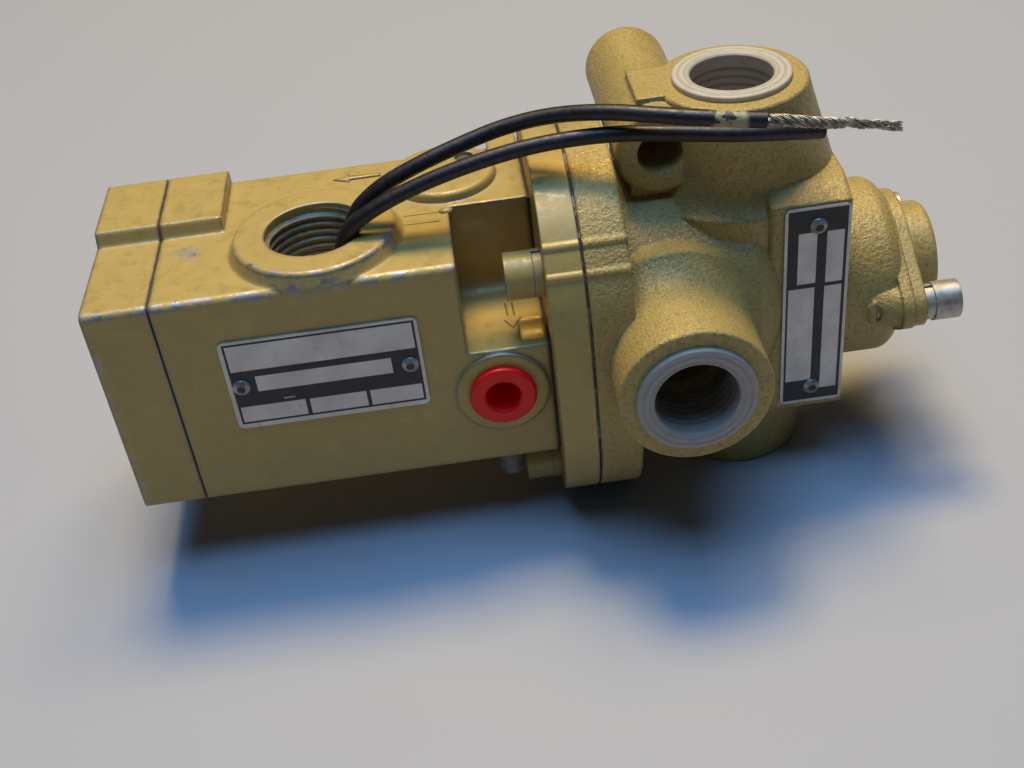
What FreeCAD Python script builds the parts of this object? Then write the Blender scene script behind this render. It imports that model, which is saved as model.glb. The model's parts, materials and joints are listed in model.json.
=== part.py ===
import FreeCAD, Part
import math
import os
import re
import Sketcher

# Solenoid-pilot poppet valve, in millimetres.
# The origin is the centre of the bottom port's mouth, on the plane that the valve rests on.
# +X runs along the valve axis from the end cap to the end retainer, +Y to the back, +Z up.

V = FreeCAD.Vector

SIZES = [
    ("port_reach", 45.75, "middle of the casting to the mouth of every port"),
    ("port_boss_radius", 15.8, "boss round a port"),
    ("bore_height", 42.0, "valve axis over the resting plane"),
    ("port_bore_radius", 10.3, "wall of the port's threaded hole"),
    ("port_bore_depth", 15.0, "threaded hole"),
    ("port_bevel", 0.9, "bevel at the mouth"),
    ("boss_edge", 0.7, "rounded rim of a boss"),
    ("boss_flare", 4.0, "how far a boss widens where it meets the core"),
    ("boss_flare_length", 8.0, "length of that widening"),
    ("exhaust_offset", 17.4, "front port axis, left of the top and bottom ports"),
    ("exhaust_passage_radius", 8.3, "passage behind the front port"),
    ("outlet_passage_radius", 5.8, "passage above the bottom port"),
    ("inlet_passage_radius", 6.0, "slanted passage under the top port"),
    ("inlet_passage_lean", 28.0, "its lean from upright, in degrees"),
    ("inlet_passage_start", 2.5, "its start, right of the port's axis"),
    ("inlet_passage_depth", 11.0, "its start below the port's mouth"),
    ("inlet_passage_length", 33.0, "its length along the lean"),
    ("core_radius", 26.6, "rounded core of the body"),
    ("core_right", 0.5, "where the core starts to narrow"),
    ("shoulder_radius", 20.3, "body behind the nameplate pad"),
    ("shoulder_left", 6.5, "where the narrowing ends"),
    ("shoulder_right", 18.0, "where the shoulder ends"),
    ("barrel_radius", 19.7, "barrel at the right"),
    ("barrel_height", 41.6, "middle of the barrel over the resting plane"),
    ("barrel_forward", 0.6, "barrel in front of the valve axis"),
    ("barrel_root_radius", 15.0, "core inside the barrel"),
    ("barrel_round", 3.8, "its right edge"),
    ("body_right", 34.4, "port axis to the retainer's face"),
    ("inlet_spread", 7.8, "how far the top port's casing leans to the right"),
    ("inlet_casing_radius", 16.6, "foot of that casing"),
    ("inlet_casing_height", 29.5, "height of the leaning casing"),
    ("flange_reach", 35.9, "port axis to the flange's face"),
    ("flange_thickness", 9.1, "cast flange"),
    ("flange_half_width", 34.5, "flange outline"),
    ("flange_top", 82.5, "top of the flange over the resting plane"),
    ("flange_top_round", 31.5, "upper corners"),
    ("flange_foot_round", 29.5, "lower corners"),
    ("flange_edge", 0.8, "rounded rim on the casting's side"),
    ("bead_angle", 142.5, "key on the front shoulder of the flange, in degrees"),
    ("bead_spread", 6.2, "between the key's two beads"),
    ("bead_radius", 1.3, "bead"),
    ("bead_proud", 0.45, "how far a bead stands out"),
    ("lobe_offset", 17.0, "mounting lobe axis, left of the ports"),
    ("lobe_height", 81.5, "its height"),
    ("lobe_radius", 9.2, "lobe"),
    ("lobe_front", 10.0, "front face before the valve axis"),
    ("lobe_back", 37.0, "rounded back end"),
    ("lobe_back_round", 4.0, "its rounding"),
    ("lobe_hole_radius", 4.7, "mounting hole"),
    ("lobe_web_width", 12.0, "web that carries the lobe"),
    ("lobe_web_back", 24.0, "back end of that web"),
    ("land_left", 20.6, "machined land beside the top port, left end"),
    ("land_back", 9.4, "its back edge"),
    ("land_front", 5.0, "its front edge"),
    ("land_depth", 9.0, "its thickness"),
    ("pad_left", 3.3, "nameplate pad, left side"),
    ("pad_width", 17.3, "nameplate pad"),
    ("pad_face", 20.5, "pad's face before the valve axis"),
    ("pad_low", 18.8, "pad's lower end"),
    ("pad_high", 71.0, "pad's upper end at its face"),
    ("pad_slope_rise", 2.3, "sloped ledge on top of the pad"),
    ("pad_slope_run", 5.3, "the ledge's depth"),
    ("pad_round", 1.2, "pad's upright edges"),
    ("piston_bore_radius", 19.0, "bore of the main piston"),
    ("piston_bore_depth", 6.5, "part of that bore in the casting"),
    ("chamber_radius", 12.5, "exhaust, outlet and inlet chambers"),
    ("guide_thickness", 3.5, "stem guide"),
    ("seat_radius", 7.5, "opening of each seat"),
    ("seat_thickness", 3.0, "web of each seat"),
    ("outlet_half", 6.0, "half the width of the outlet chamber"),
    ("inlet_chamber_width", 15.0, "inlet chamber"),
    ("end_bore_radius", 10.5, "bore that the end retainer closes"),
    ("stroke", 4.5, "travel of the valve stem"),
    ("seal_gap", 0.05, "gap between a closed poppet and its seat"),
    ("running_fit", 0.05, "radial clearance of a sliding piece"),
    ("loose_fit", 0.1, "radial clearance of a piece that is put in"),
    ("piston_thickness", 5.0, "main piston"),
    ("piston_gap", 0.3, "piston to the floor of the plate's recess at rest"),
    ("ring_width", 2.4, "piston seal"),
    ("ring_depth", 2.6, "piston seal"),
    ("stem_radius", 3.5, "valve stem"),
    ("stem_tail", 19.5, "stem past the inlet poppet"),
    ("poppet_radius", 9.6, "both poppets"),
    ("poppet_thickness", 4.2, "both poppets"),
    ("spring_wire", 0.8, "return spring wire radius"),
    ("spring_radius", 6.6, "return spring, centre of the wire"),
    ("spring_turns", 5.0, "return spring"),
    ("retainer_thickness", 2.6, "end retainer plate"),
    ("retainer_middle", 15.9, "middle of the oval"),
    ("retainer_ear", 5.3, "ears of the oval"),
    ("retainer_pitch", 19.3, "valve axis to a retainer screw"),
    ("retainer_spigot", 4.0, "spigot inside the bore"),
    ("retainer_ring_width", 1.8, "seal ring on the spigot"),
    ("retainer_ring_depth", 1.4, "seal ring on the spigot"),
    ("dome_radius", 12.0, "round cap of the retainer"),
    ("dome_height", 6.8, "round cap of the retainer"),
    ("dome_round", 1.2, "its edge"),
    ("ear_thickness", 2.6, "oval end of the casting behind the retainer"),
    ("oval_proud", 0.7, "how far the oval end stands out of the barrel"),
    ("ear_root", 14.0, "length over which an ear rises out of the barrel"),
    ("ear_root_pitch", 12.5, "valve axis to the root of an ear"),
    ("retainer_screw_radius", 2.5, "retainer screw shank"),
    ("retainer_screw_length", 10.0, "shank under the washer"),
    ("retainer_head_radius", 4.25, "retainer screw head"),
    ("retainer_head", 5.6, "retainer screw head"),
    ("retainer_washer", 2.3, "its lock washer"),
    ("retainer_washer_radius", 3.9, "its lock washer"),
    ("gasket_thickness", 0.6, "gaskets on both sides of the plate"),
    ("gasket_inset", 0.35, "how far a gasket stays inside the outline"),
    ("plate_thickness", 7.4, "adapter plate"),
    ("plate_recess", 3.2, "piston chamber in the adapter plate"),
    ("pilot_way_radius", 2.5, "pilot air hole through the plate"),
    ("screw_radius", 3.0, "flange screw shank"),
    ("screw_grip", 7.4, "flange screw in the casting"),
    ("screw_head_radius", 5.0, "flange screw head"),
    ("screw_head", 6.0, "flange screw head"),
    ("screw_washer", 1.9, "its lock washer"),
    ("washer_split", 0.8, "gap in a lock washer"),
    ("screw_high_y", 19.0, "upper flange screws"),
    ("screw_high_z", 62.8, "upper flange screws"),
    ("screw_low_y", 16.0, "lower flange screws"),
    ("screw_low_z", 10.8, "lower flange screws"),
    ("socket_share", 0.5, "hexagon socket's corner radius as a share of the head's"),
    ("socket_depth", 3.0, "hexagon socket"),
    ("housing_length", 78.5, "pilot housing"),
    ("housing_front", 25.3, "front face before the valve axis"),
    ("housing_back", 24.3, "back face behind the valve axis"),
    ("housing_low", 19.2, "bottom face"),
    ("housing_high", 70.8, "top face"),
    ("housing_edge", 1.6, "long edges"),
    ("cap_length", 13.4, "end cap"),
    ("cap_hollow", 9.0, "hollow inside the end cap"),
    ("cap_gasket", 0.5, "gasket under the end cap"),
    ("step_front", 1.2, "front foot of the raised step, behind the valve axis"),
    ("step_height", 3.0, "raised step"),
    ("step_slope", 1.4, "run of its sloped sides"),
    ("step_length", 13.2, "step on the housing"),
    ("cavity_depth", 46.0, "solenoid space"),
    ("cavity_front", 21.6, "solenoid space before the valve axis"),
    ("cavity_back", 20.8, "solenoid space behind the valve axis"),
    ("cavity_low", 22.4, "solenoid space, floor"),
    ("cavity_high", 57.4, "solenoid space, roof"),
    ("cavity_round_low", 12.0, "solenoid space, lower corners"),
    ("cavity_round_high", 4.0, "solenoid space, upper corners"),
    ("conduit_x", 89.6, "conduit opening, left of the ports"),
    ("conduit_y", 7.9, "conduit opening, before the valve axis"),
    ("conduit_radius", 10.5, "wall of the conduit thread"),
    ("conduit_depth", 13.6, "conduit thread"),
    ("conduit_rise", 3.0, "conduit boss above the housing"),
    ("conduit_boss_radius", 17.2, "conduit boss at its face"),
    ("conduit_flare", 1.4, "widening of the boss below its face"),
    ("conduit_foot", 13.0, "how far the boss reaches down the front"),
    ("conduit_edge", 0.8, "rounded rim of the boss"),
    ("lead_hole_x", 84.1, "hole that the lead wires come through"),
    ("lead_hole_y", 9.8, "same hole, before the valve axis"),
    ("lead_hole_radius", 5.2, "same hole"),
    ("disc_x", 61.6, "override boss, left of the ports"),
    ("disc_y", 12.4, "override boss, behind the valve axis"),
    ("disc_radius", 11.5, "override boss"),
    ("disc_rise", 2.0, "override boss above the housing"),
    ("disc_edge", 1.1, "its rounded rim"),
    ("button_x", 56.7, "override button, left of the ports"),
    ("button_y", 17.0, "override button, behind the valve axis"),
    ("button_radius", 2.0, "override button"),
    ("button_foot_radius", 2.8, "collar of the button"),
    ("button_foot", 2.0, "collar of the button"),
    ("button_cover", 4.6, "metal above the collar"),
    ("button_bore", 14.0, "depth of the button's bore below the boss"),
    ("button_travel", 2.4, "travel of the button"),
    ("button_sunk", 0.6, "button below the top of its boss"),
    ("button_spring_wire", 0.35, "button spring wire radius"),
    ("notch_left", 61.5, "notch for the front screw, left end"),
    ("notch_back", 1.2, "its back wall before the valve axis"),
    ("notch_floor", 49.0, "its floor"),
    ("notch_round", 3.0, "its inner corner"),
    ("dimple_radius", 4.6, "half-round pocket in the notch's floor"),
    ("dimple_length", 6.5, "half-round pocket in the notch's floor"),
    ("pocket_left", 53.2, "pocket for the rear screw, left end"),
    ("pocket_reach", 6.2, "pocket round the rear screw's axis"),
    ("lug_left", 51.2, "lug over the rear screw, left end"),
    ("lug_front", 17.0, "its front side behind the valve axis"),
    ("lug_back", 26.0, "its back side"),
    ("lug_high", 73.2, "its top"),
    ("pilot_x", 55.2, "pilot port, left of the other ports"),
    ("pilot_z", 38.4, "pilot port height"),
    ("pilot_boss_radius", 10.0, "boss of the pilot port"),
    ("pilot_boss_rise", 0.9, "same boss before the housing's front"),
    ("pilot_bore_radius", 6.0, "wall of the pilot port's thread"),
    ("pilot_bore_depth", 12.0, "pilot port"),
    ("solenoid_z", 39.5, "solenoid axis height"),
    ("coil_radius", 13.4, "winding"),
    ("coil_flange_radius", 14.4, "bobbin flanges"),
    ("coil_flange", 1.8, "bobbin flanges"),
    ("coil_length", 34.0, "bobbin"),
    ("bobbin_wall", 1.2, "bobbin tube"),
    ("lead_block", 11.0, "block on the bobbin that holds the leads"),
    ("yoke_thickness", 2.2, "steel yoke"),
    ("yoke_half_width", 11.0, "steel yoke"),
    ("core_tube_radius", 5.9, "core tube"),
    ("core_tube_wall", 0.7, "core tube"),
    ("core_flange_radius", 9.0, "core tube flange"),
    ("core_flange", 1.5, "core tube flange"),
    ("pole_length", 17.0, "fixed pole piece"),
    ("plunger_length", 24.0, "plunger"),
    ("plunger_stroke", 2.0, "travel of the plunger"),
    ("plunger_seal_radius", 2.6, "seal in the plunger's nose"),
    ("plunger_seal", 1.6, "seal in the plunger's nose"),
    ("plunger_spring_wire", 0.4, "plunger spring wire radius"),
    ("plunger_pocket", 6.0, "spring pocket in the plunger"),
    ("nozzle_radius", 4.0, "pilot seat"),
    ("nozzle_length", 10.0, "pilot seat"),
    ("nozzle_hole", 0.9, "pilot seat orifice"),
    ("inner_screw_radius", 2.0, "cap screws and housing screws"),
    ("inner_head_radius", 3.5, "their heads"),
    ("inner_head", 4.0, "their heads"),
    ("inner_low_y", 17.0, "lower housing screws, from the valve axis"),
    ("inner_low_z", 27.0, "lower housing screws, height"),
    ("inner_high_y", 6.0, "upper housing screw, behind the valve axis"),
    ("inner_high_z", 63.5, "upper housing screw, height"),
    ("inner_grip", 2.8, "housing screw in the adapter plate"),
    ("inner_sunk", 0.5, "housing screw's end inside its hole"),
    ("cap_screw_inset", 4.3, "cap screws from the housing's sides"),
    ("cap_screw_grip", 12.0, "cap screw in the housing"),
    ("vent_y", 21.4, "small plug under the housing, before the valve axis"),
    ("vent_radius", 2.9, "its head"),
    ("vent_head", 5.4, "its head"),
    ("vent_shank_radius", 2.0, "its shank"),
    ("vent_shank", 6.0, "its shank"),
    ("sleeve_flange_radius", 12.3, "thread protector"),
    ("sleeve_flange", 1.2, "thread protector"),
    ("sleeve_bore_radius", 8.6, "thread protector"),
    ("sleeve_depth", 9.5, "thread protector"),
    ("plug_flange_radius", 7.2, "pilot port plug"),
    ("plug_flange", 1.6, "pilot port plug"),
    ("plug_hole_radius", 3.7, "pilot port plug"),
    ("plug_depth", 8.0, "pilot port plug"),
    ("plug_floor", 1.2, "pilot port plug"),
    ("plate_sheet", 0.5, "both nameplates"),
    ("plate_corner", 1.3, "both nameplates"),
    ("label_left", 111.8, "left nameplate, left of the ports"),
    ("label_width", 41.0, "left nameplate"),
    ("label_low", 38.2, "left nameplate"),
    ("label_height", 22.3, "left nameplate"),
    ("label_rivet_inset", 2.8, "its rivets from its sides"),
    ("tag_left", 6.3, "right nameplate, right of the ports"),
    ("tag_width", 13.8, "right nameplate"),
    ("tag_low", 20.2, "right nameplate"),
    ("tag_height", 50.3, "right nameplate"),
    ("tag_rivet_inset", 4.4, "its rivets from its ends"),
    ("rivet_radius", 1.9, "rivet head"),
    ("rivet_head", 1.0, "rivet head"),
    ("rivet_shank_radius", 0.9, "rivet shank"),
    ("rivet_shank", 4.0, "rivet shank"),
    ("wire_radius", 1.65, "lead wire"),
    ("strand_radius", 0.9, "bare strands"),
]

# Places that follow from the sizes, each written as a formula of their names.
PLACES = {
    "flange_face": "-flange_reach",
    "flange_back": "-flange_reach + flange_thickness",
    "plate_right": "flange_face - gasket_thickness",
    "plate_left": "plate_right - plate_thickness",
    "housing_right": "plate_left - gasket_thickness",
    "housing_left": "housing_right - housing_length",
    "cap_right": "housing_left - cap_gasket",
    "cap_left": "cap_right - cap_length",
    "top_mouth": "2 * port_reach",
    "guide_left": "flange_face + piston_bore_depth",
    "guide_right": "guide_left + guide_thickness",
    "exhaust_seat": "-outlet_half - seat_thickness",
    "inlet_seat": "outlet_half + seat_thickness",
    "inlet_end": "inlet_seat + inlet_chamber_width",
    "barrel_end": "body_right - oval_proud",
    "spigot_left": "body_right - retainer_spigot",
    "plate_floor": "plate_right - plate_recess",
    "piston_left": "plate_floor + piston_gap",
    "poppet_left": "inlet_seat + seal_gap",
    "tail_left": "poppet_left + poppet_thickness",
    "dome_right": "body_right + retainer_thickness + dome_height",
    "washer_left": "body_right + retainer_thickness",
    "conduit_face": "housing_high + conduit_rise",
    "conduit_floor": "conduit_face - conduit_depth",
    "disc_face": "housing_high + disc_rise",
    "cavity_right": "housing_left + cavity_depth",
    "coil_left": "cavity_right - core_flange - yoke_thickness - coil_length - 2 * loose_fit",
    "tube_left": "coil_left - yoke_thickness - loose_fit",
    "tube_right": "cavity_right - core_flange",
    "tube_inside": "core_tube_radius - core_tube_wall",
    "nozzle_tip": "cavity_right + 2.0",
    "plunger_right": "nozzle_tip - seal_gap",
    "plunger_left": "plunger_right - plunger_length",
    "pole_right": "plunger_left - plunger_stroke - seal_gap",
    "head_left": "plate_left - screw_washer - screw_head",
    "front_mouth": "-port_reach",
    "retainer_head_left": "washer_left + retainer_washer",
}

# Lead wires: corner points of each route, chosen by hand along the real wires.
WIRE_A = [
    (-82.7, -8.5, 56.9), (-82.7, -8.5, 68.0), (-81.4, -8.6, 75.9), (-75.4, -8.2, 81.2),
    (-66.7, -7.6, 84.9), (-57.6, -6.6, 87.6), (-48.2, -6.2, 90.2), (-38.4, -8.2, 92.4),
    (-28.0, -13.2, 94.0), (-17.6, -18.2, 94.0), (-7.8, -21.8, 93.6), (1.4, -23.6, 92.9),
]
WIRE_B = [
    (-84.9, -12.5, 56.9), (-84.9, -12.5, 67.0), (-83.0, -13.0, 75.2), (-75.8, -12.7, 79.6),
    (-66.5, -12.0, 82.9), (-56.6, -11.8, 85.6), (-46.0, -11.8, 87.7), (-35.2, -12.6, 88.9),
    (-24.6, -14.0, 89.2), (-14.2, -16.4, 88.8), (-3.6, -18.6, 88.1), (6.0, -18.4, 87.0),
    (14.6, -16.0, 84.9),
]
STRANDS_A = [(1.4, -23.6, 92.9), (10.4, -25.4, 92.2), (19.0, -25.4, 90.4), (27.6, -23.6, 87.4)]

SIZE_NAMES = [name for name, number, note in SIZES]

doc = FreeCAD.newDocument("valve")
sheet = doc.addObject("Spreadsheet::Sheet", "sizes")
for row, (name, number, note) in enumerate(SIZES, start=1):
    sheet.set("A%d" % row, str(number))
    sheet.setAlias("A%d" % row, name)
    sheet.set("B%d" % row, note)
doc.recompute()

FROM_X = {
    "x": FreeCAD.Rotation(),
    "-x": FreeCAD.Rotation(V(0, 0, 1), 180),
    "y": FreeCAD.Rotation(V(0, 0, 1), 90),
    "-y": FreeCAD.Rotation(V(0, 0, 1), -90),
    "z": FreeCAD.Rotation(V(0, 1, 0), -90),
    "-z": FreeCAD.Rotation(V(0, 1, 0), 90),
}
FROM_Z = {
    "x": FreeCAD.Rotation(V(0, 1, 0), 90),
    "-x": FreeCAD.Rotation(V(0, 1, 0), -90),
    "y": FreeCAD.Rotation(V(1, 0, 0), -90),
    "-y": FreeCAD.Rotation(V(1, 0, 0), 90),
    "z": FreeCAD.Rotation(),
    "-z": FreeCAD.Rotation(V(1, 0, 0), 180),
}

nodes = {}


def formula(text):
    """A formula of size and place names, as an expression that the document can hold."""

    def word(match):
        name = match.group(0)
        if name in PLACES:
            return "(" + formula(PLACES[name]) + ")"
        if name in SIZE_NAMES:
            return "sizes." + name
        return name

    return re.sub(r"[a-z][a-z_0-9]*", word, str(text))


def value(text):
    """What such a formula gives."""
    return float(sheet.evalExpression(formula(text).replace("sizes.", "")))


def place(item, at, turn=FreeCAD.Rotation()):
    """Put an object where three formulas say."""
    item.Placement = FreeCAD.Placement(V(*[value(text) for text in at]), turn)
    for axis, text in zip("xyz", at):
        item.setExpression("Placement.Base." + axis, formula(text))
    return item


def node(name, item):
    """Name a finished sub-part."""
    item.Label = name
    nodes[name] = item
    return item


def block(name, low, high):
    """A box between two corners."""
    item = doc.addObject("Part::Box", name)
    for side, start, end in zip(("Length", "Width", "Height"), low, high):
        item.setExpression(side, formula("(%s) - (%s)" % (end, start)))
    return place(item, low)


def rod(name, radius, length, at, along):
    """A cylinder that starts at a point and runs along a direction."""
    item = doc.addObject("Part::Cylinder", name)
    item.setExpression("Radius", formula(radius))
    item.setExpression("Height", formula(length))
    return place(item, at, FROM_Z[along])


def hexagon(name, radius, length, at, along):
    """A hexagonal prism, such as a screw's socket."""
    item = doc.addObject("Part::Prism", name)
    item.Polygon = 6
    item.setExpression("Circumradius", formula(radius))
    item.setExpression("Height", formula(length))
    return place(item, at, FROM_Z[along])


def fused(name, items):
    item = doc.addObject("Part::MultiFuse", name)
    item.Shapes = items
    item.Refine = False
    return item


def grouped(name, items):
    item = doc.addObject("Part::Compound", name)
    item.Links = items
    return item


def cut(name, base, tools):
    item = doc.addObject("Part::Cut", name)
    item.Base = base
    item.Tool = tools[0] if len(tools) == 1 else fused(name + "_tools", tools)
    item.Refine = True
    return item


def arc_between(start, end, radius, side):
    """The short arc between two points, its centre on the left (1) or the right (-1)."""
    chord = end - start
    middle = start + chord * 0.5
    depth = math.sqrt(max(radius ** 2 - (chord.Length / 2) ** 2, 0.0))
    left = V(-chord.y, chord.x, 0).normalize()
    centre = middle + left * (side * depth)
    return Part.Arc(start, centre - left * (side * radius), end)


def outline(body, role, path, name):
    """Draw a closed outline in a sketch. A corner is (across, up), both formulas.

    A corner with two more entries, a radius and a side, starts an arc to the next corner.
    """
    sketch = body.newObject("Sketcher::SketchObject", name)
    plane = [item for item in body.Origin.OriginFeatures if item.Role == role][0]
    sketch.AttachmentSupport = [(plane, "")]
    sketch.MapMode = "FlatFace"
    spots = [V(value(corner[0]), value(corner[1]), 0) for corner in path]
    ends = []
    for index, corner in enumerate(path):
        start, end = spots[index], spots[(index + 1) % len(path)]
        if len(corner) == 4:
            sketch.addGeometry(arc_between(start, end, value(corner[2]), corner[3]), False)
            ends.append((1, 2) if corner[3] > 0 else (2, 1))
        else:
            sketch.addGeometry(Part.LineSegment(start, end), False)
            ends.append((1, 2))
    for index, corner in enumerate(path):
        after = (index + 1) % len(path)
        sketch.addConstraint(Sketcher.Constraint("Coincident", index, ends[index][1], after, ends[after][0]))
    for index, corner in enumerate(path):
        spot = spots[index]
        for kind, number, text in (("DistanceX", spot.x, corner[0]), ("DistanceY", spot.y, corner[1])):
            rule = sketch.addConstraint(Sketcher.Constraint(kind, -1, 1, index, ends[index][0], number))
            sketch.setExpression("Constraints[%d]" % rule, formula(text))
        if len(corner) == 4:
            rule = sketch.addConstraint(Sketcher.Constraint("Radius", index, value(corner[2])))
            sketch.setExpression("Constraints[%d]" % rule, formula(corner[2]))
    return sketch


def turned(name, profile, at, along):
    """A body turned about a line. The profile's corners are (along the line, radius)."""
    body = doc.addObject("PartDesign::Body", name)
    sketch = outline(body, "XZ_Plane", profile, name + "_profile")
    turn = body.newObject("PartDesign::Revolution", name + "_turned")
    turn.Profile = sketch
    turn.ReferenceAxis = (sketch, ["H_Axis"])
    turn.Angle = 360
    return place(body, at, FROM_X[along])


def slab(name, path, start, length):
    """An outline of (y, z) corners that runs along the valve axis."""
    body = doc.addObject("PartDesign::Body", name)
    pad = body.newObject("PartDesign::Pad", name + "_pad")
    pad.Profile = outline(body, "YZ_Plane", path, name + "_outline")
    pad.setExpression("Length", formula(length))
    return place(body, (start, "0", "0"))


def sheet_metal(name, path, face, thickness):
    """An outline of (x, z) corners that stands out of an upright face towards the front."""
    body = doc.addObject("PartDesign::Body", name)
    pad = body.newObject("PartDesign::Pad", name + "_pad")
    pad.Profile = outline(body, "XZ_Plane", path, name + "_outline")
    pad.setExpression("Length", formula(thickness))
    return place(body, ("0", face, "0"))


def rounded(low, high, left, right, low_round, high_round):
    """Corners of a rectangle between left and right, low and high, with rounded corners."""
    return [
        ("%s + %s" % (left, low_round), low),
        ("%s - %s" % (right, low_round), low, low_round, 1),
        (right, "%s + %s" % (low, low_round)),
        (right, "%s - %s" % (high, high_round), high_round, 1),
        ("%s - %s" % (right, high_round), high),
        ("%s + %s" % (left, high_round), high, high_round, 1),
        (left, "%s - %s" % (high, high_round)),
        (left, "%s + %s" % (low, low_round), low_round, 1),
    ]


def flange_outline(inset="0"):
    """Outline that the flange, the adapter plate and the gaskets share."""
    side = "(flange_half_width - %s)" % inset
    return rounded(
        inset, "(flange_top - %s)" % inset, "-" + side, side,
        "(flange_foot_round - %s)" % inset, "(flange_top_round - %s)" % inset,
    )


def housing_outline(inset="0"):
    return rounded(
        "(housing_low + %s)" % inset, "(housing_high - %s)" % inset,
        "(-housing_front + %s)" % inset, "(housing_back - %s)" % inset,
        "housing_edge", "housing_edge",
    )


def cavity_outline():
    return rounded(
        "cavity_low", "cavity_high", "-cavity_front", "cavity_back",
        "cavity_round_low", "cavity_round_high",
    )


def coil_spring(name, radius, wire, turns, start, end, at, along, sides=6):
    """A compression spring of round wire between two distances along its line."""
    line = doc.addObject("Part::Helix", name + "_line")
    line.setExpression("Radius", formula(radius))
    line.setExpression("Height", formula("(%s) - (%s) - 2 * (%s)" % (end, start, wire)))
    line.setExpression("Pitch", formula("((%s) - (%s) - 2 * (%s)) / (%s)" % (end, start, wire, turns)))
    ring = doc.addObject("Part::RegularPolygon", name + "_section")
    ring.Polygon = sides
    ring.setExpression("Circumradius", formula(wire))
    place(ring, (radius, "0", "0"), FreeCAD.Rotation(V(1, 0, 0), 90))
    doc.recompute()
    sweep = doc.addObject("Part::Sweep", name)
    sweep.Sections = [ring]
    sweep.Spine = (line, ["Edge%d" % (i + 1) for i in range(len(line.Shape.Edges))])
    sweep.Solid = True
    sweep.Frenet = True
    holder = doc.addObject("Part::Compound", name + "_placed")
    holder.Links = [sweep]
    return place(holder, at, FROM_Z[along])


def screw(name, shank_radius, shank, head_radius, head, at, along):
    """A socket head screw. The point is under its head, and the shank runs along the direction."""
    back = along[1:] if along.startswith("-") else "-" + along
    body = fused(name + "_blank", [
        rod(name + "_shank", shank_radius, shank, at, along),
        rod(name + "_head", head_radius, head, at, back),
    ])
    axis = "xyz".index(along[-1])
    sign = -1 if along.startswith("-") else 1
    top = list(at)
    top[axis] = "%s - (%d) * (%s)" % (at[axis], sign, head)
    socket = hexagon(name + "_socket", "(%s) * socket_share" % head_radius, "socket_depth", top, along)
    return cut(name, body, [socket])


def port_boss(name, at, along):
    """A round boss that ends at a port's mouth and widens where it meets the core."""
    straight = "port_reach - boss_edge"
    return turned(name, [
        ("0", "0"),
        ("port_reach", "0"),
        ("port_reach", "port_boss_radius - boss_edge", "boss_edge", 1),
        (straight, "port_boss_radius"),
        ("core_radius + boss_flare_length - 4", "port_boss_radius", "boss_flare_length * 1.3", -1),
        ("core_radius - 4", "port_boss_radius + boss_flare"),
        ("0", "port_boss_radius + boss_flare"),
    ], at, along)


def port_bore(name, passage, length, at, along, mouth):
    """The threaded hole of a port and the passage behind it, from the mouth inwards."""
    return turned(name, [
        ("0", "0")] + mouth + [
        ("port_bore_depth", "port_bore_radius"),
        ("port_bore_depth + 1.5", passage),
        (length, passage),
        (length, "0"),
    ], at, along)


def oval(name, start, length, spread):
    """The retainer's oval: a round middle with an ear in front and an ear behind."""
    middle, ear = "(retainer_middle + %s)" % spread, "(retainer_ear + %s)" % spread
    sine = "((%s - %s) / retainer_pitch)" % (middle, ear)
    cosine = "sqrt(1 - %s ^ 2)" % sine
    far = ("(retainer_pitch + %s * %s)" % (ear, sine), "(%s * %s)" % (ear, cosine))
    near = ("(%s * %s)" % (middle, sine), "(%s * %s)" % (middle, cosine))
    corners = []
    for turn_u, turn_v, pair in ((1, -1, (near, far)), (1, 1, (far, near)), (-1, 1, (near, far)),
                                 (-1, -1, (far, near))):
        for spot in pair:
            corners.append(("%d * %s" % (turn_u, spot[0]), "%d * %s" % (turn_v, spot[1])))
    hexa = doc.addObject("PartDesign::Body", name + "_sides")
    pad = hexa.newObject("PartDesign::Pad", name + "_pad")
    pad.Profile = outline(hexa, "YZ_Plane", corners, name + "_outline")
    pad.setExpression("Length", formula(length))
    place(hexa, (start, "0", "bore_height"))
    parts = [hexa, rod(name + "_middle", middle, length, (start, "0", "bore_height"), "x")]
    for index, spot in enumerate(retainer_spots()):
        parts.append(rod(name + "_ear%d" % index, ear, length, (start,) + spot, "x"))
    return fused(name, parts)


def retainer_spots():
    """The two retainer screws, as (y, z)."""
    return [("-retainer_pitch", "bore_height"), ("retainer_pitch", "bore_height")]


def ear_root(name, side):
    """Root of an ear, which rises out of the barrel towards the oval end."""
    tip = doc.addObject("Part::Circle", name + "_tip")
    tip.setExpression("Radius", formula("retainer_ear - 0.3"))
    place(tip, ("body_right - ear_thickness / 2", "%s * retainer_pitch" % side, "bore_height"), FROM_Z["x"])
    foot = doc.addObject("Part::Circle", name + "_foot")
    foot.setExpression("Radius", formula("retainer_ear"))
    place(foot, ("body_right - ear_thickness - ear_root", "%s * ear_root_pitch" % side, "bore_height"), FROM_Z["x"])
    root = doc.addObject("Part::Loft", name)
    root.Sections = [foot, tip]
    root.Solid = True
    root.Ruled = True
    return root


def flange_spots():
    """The four flange screws, as (y, z)."""
    return [
        ("-screw_high_y", "screw_high_z"), ("screw_high_y", "screw_high_z"),
        ("-screw_low_y", "screw_low_z"), ("screw_low_y", "screw_low_z"),
    ]


def cap_spots():
    """The four cap screws, as (y, z)."""
    sides = ("-housing_front + cap_screw_inset", "housing_back - cap_screw_inset")
    levels = ("housing_low + cap_screw_inset", "housing_high - cap_screw_inset")
    return [(side, level) for side in sides for level in levels]


def inner_spots():
    """The three screws that hold the housing to the adapter plate, as (y, z)."""
    return [
        ("-inner_low_y", "inner_low_z"), ("inner_low_y", "inner_low_z"),
        ("inner_high_y", "inner_high_z"),
    ]


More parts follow.
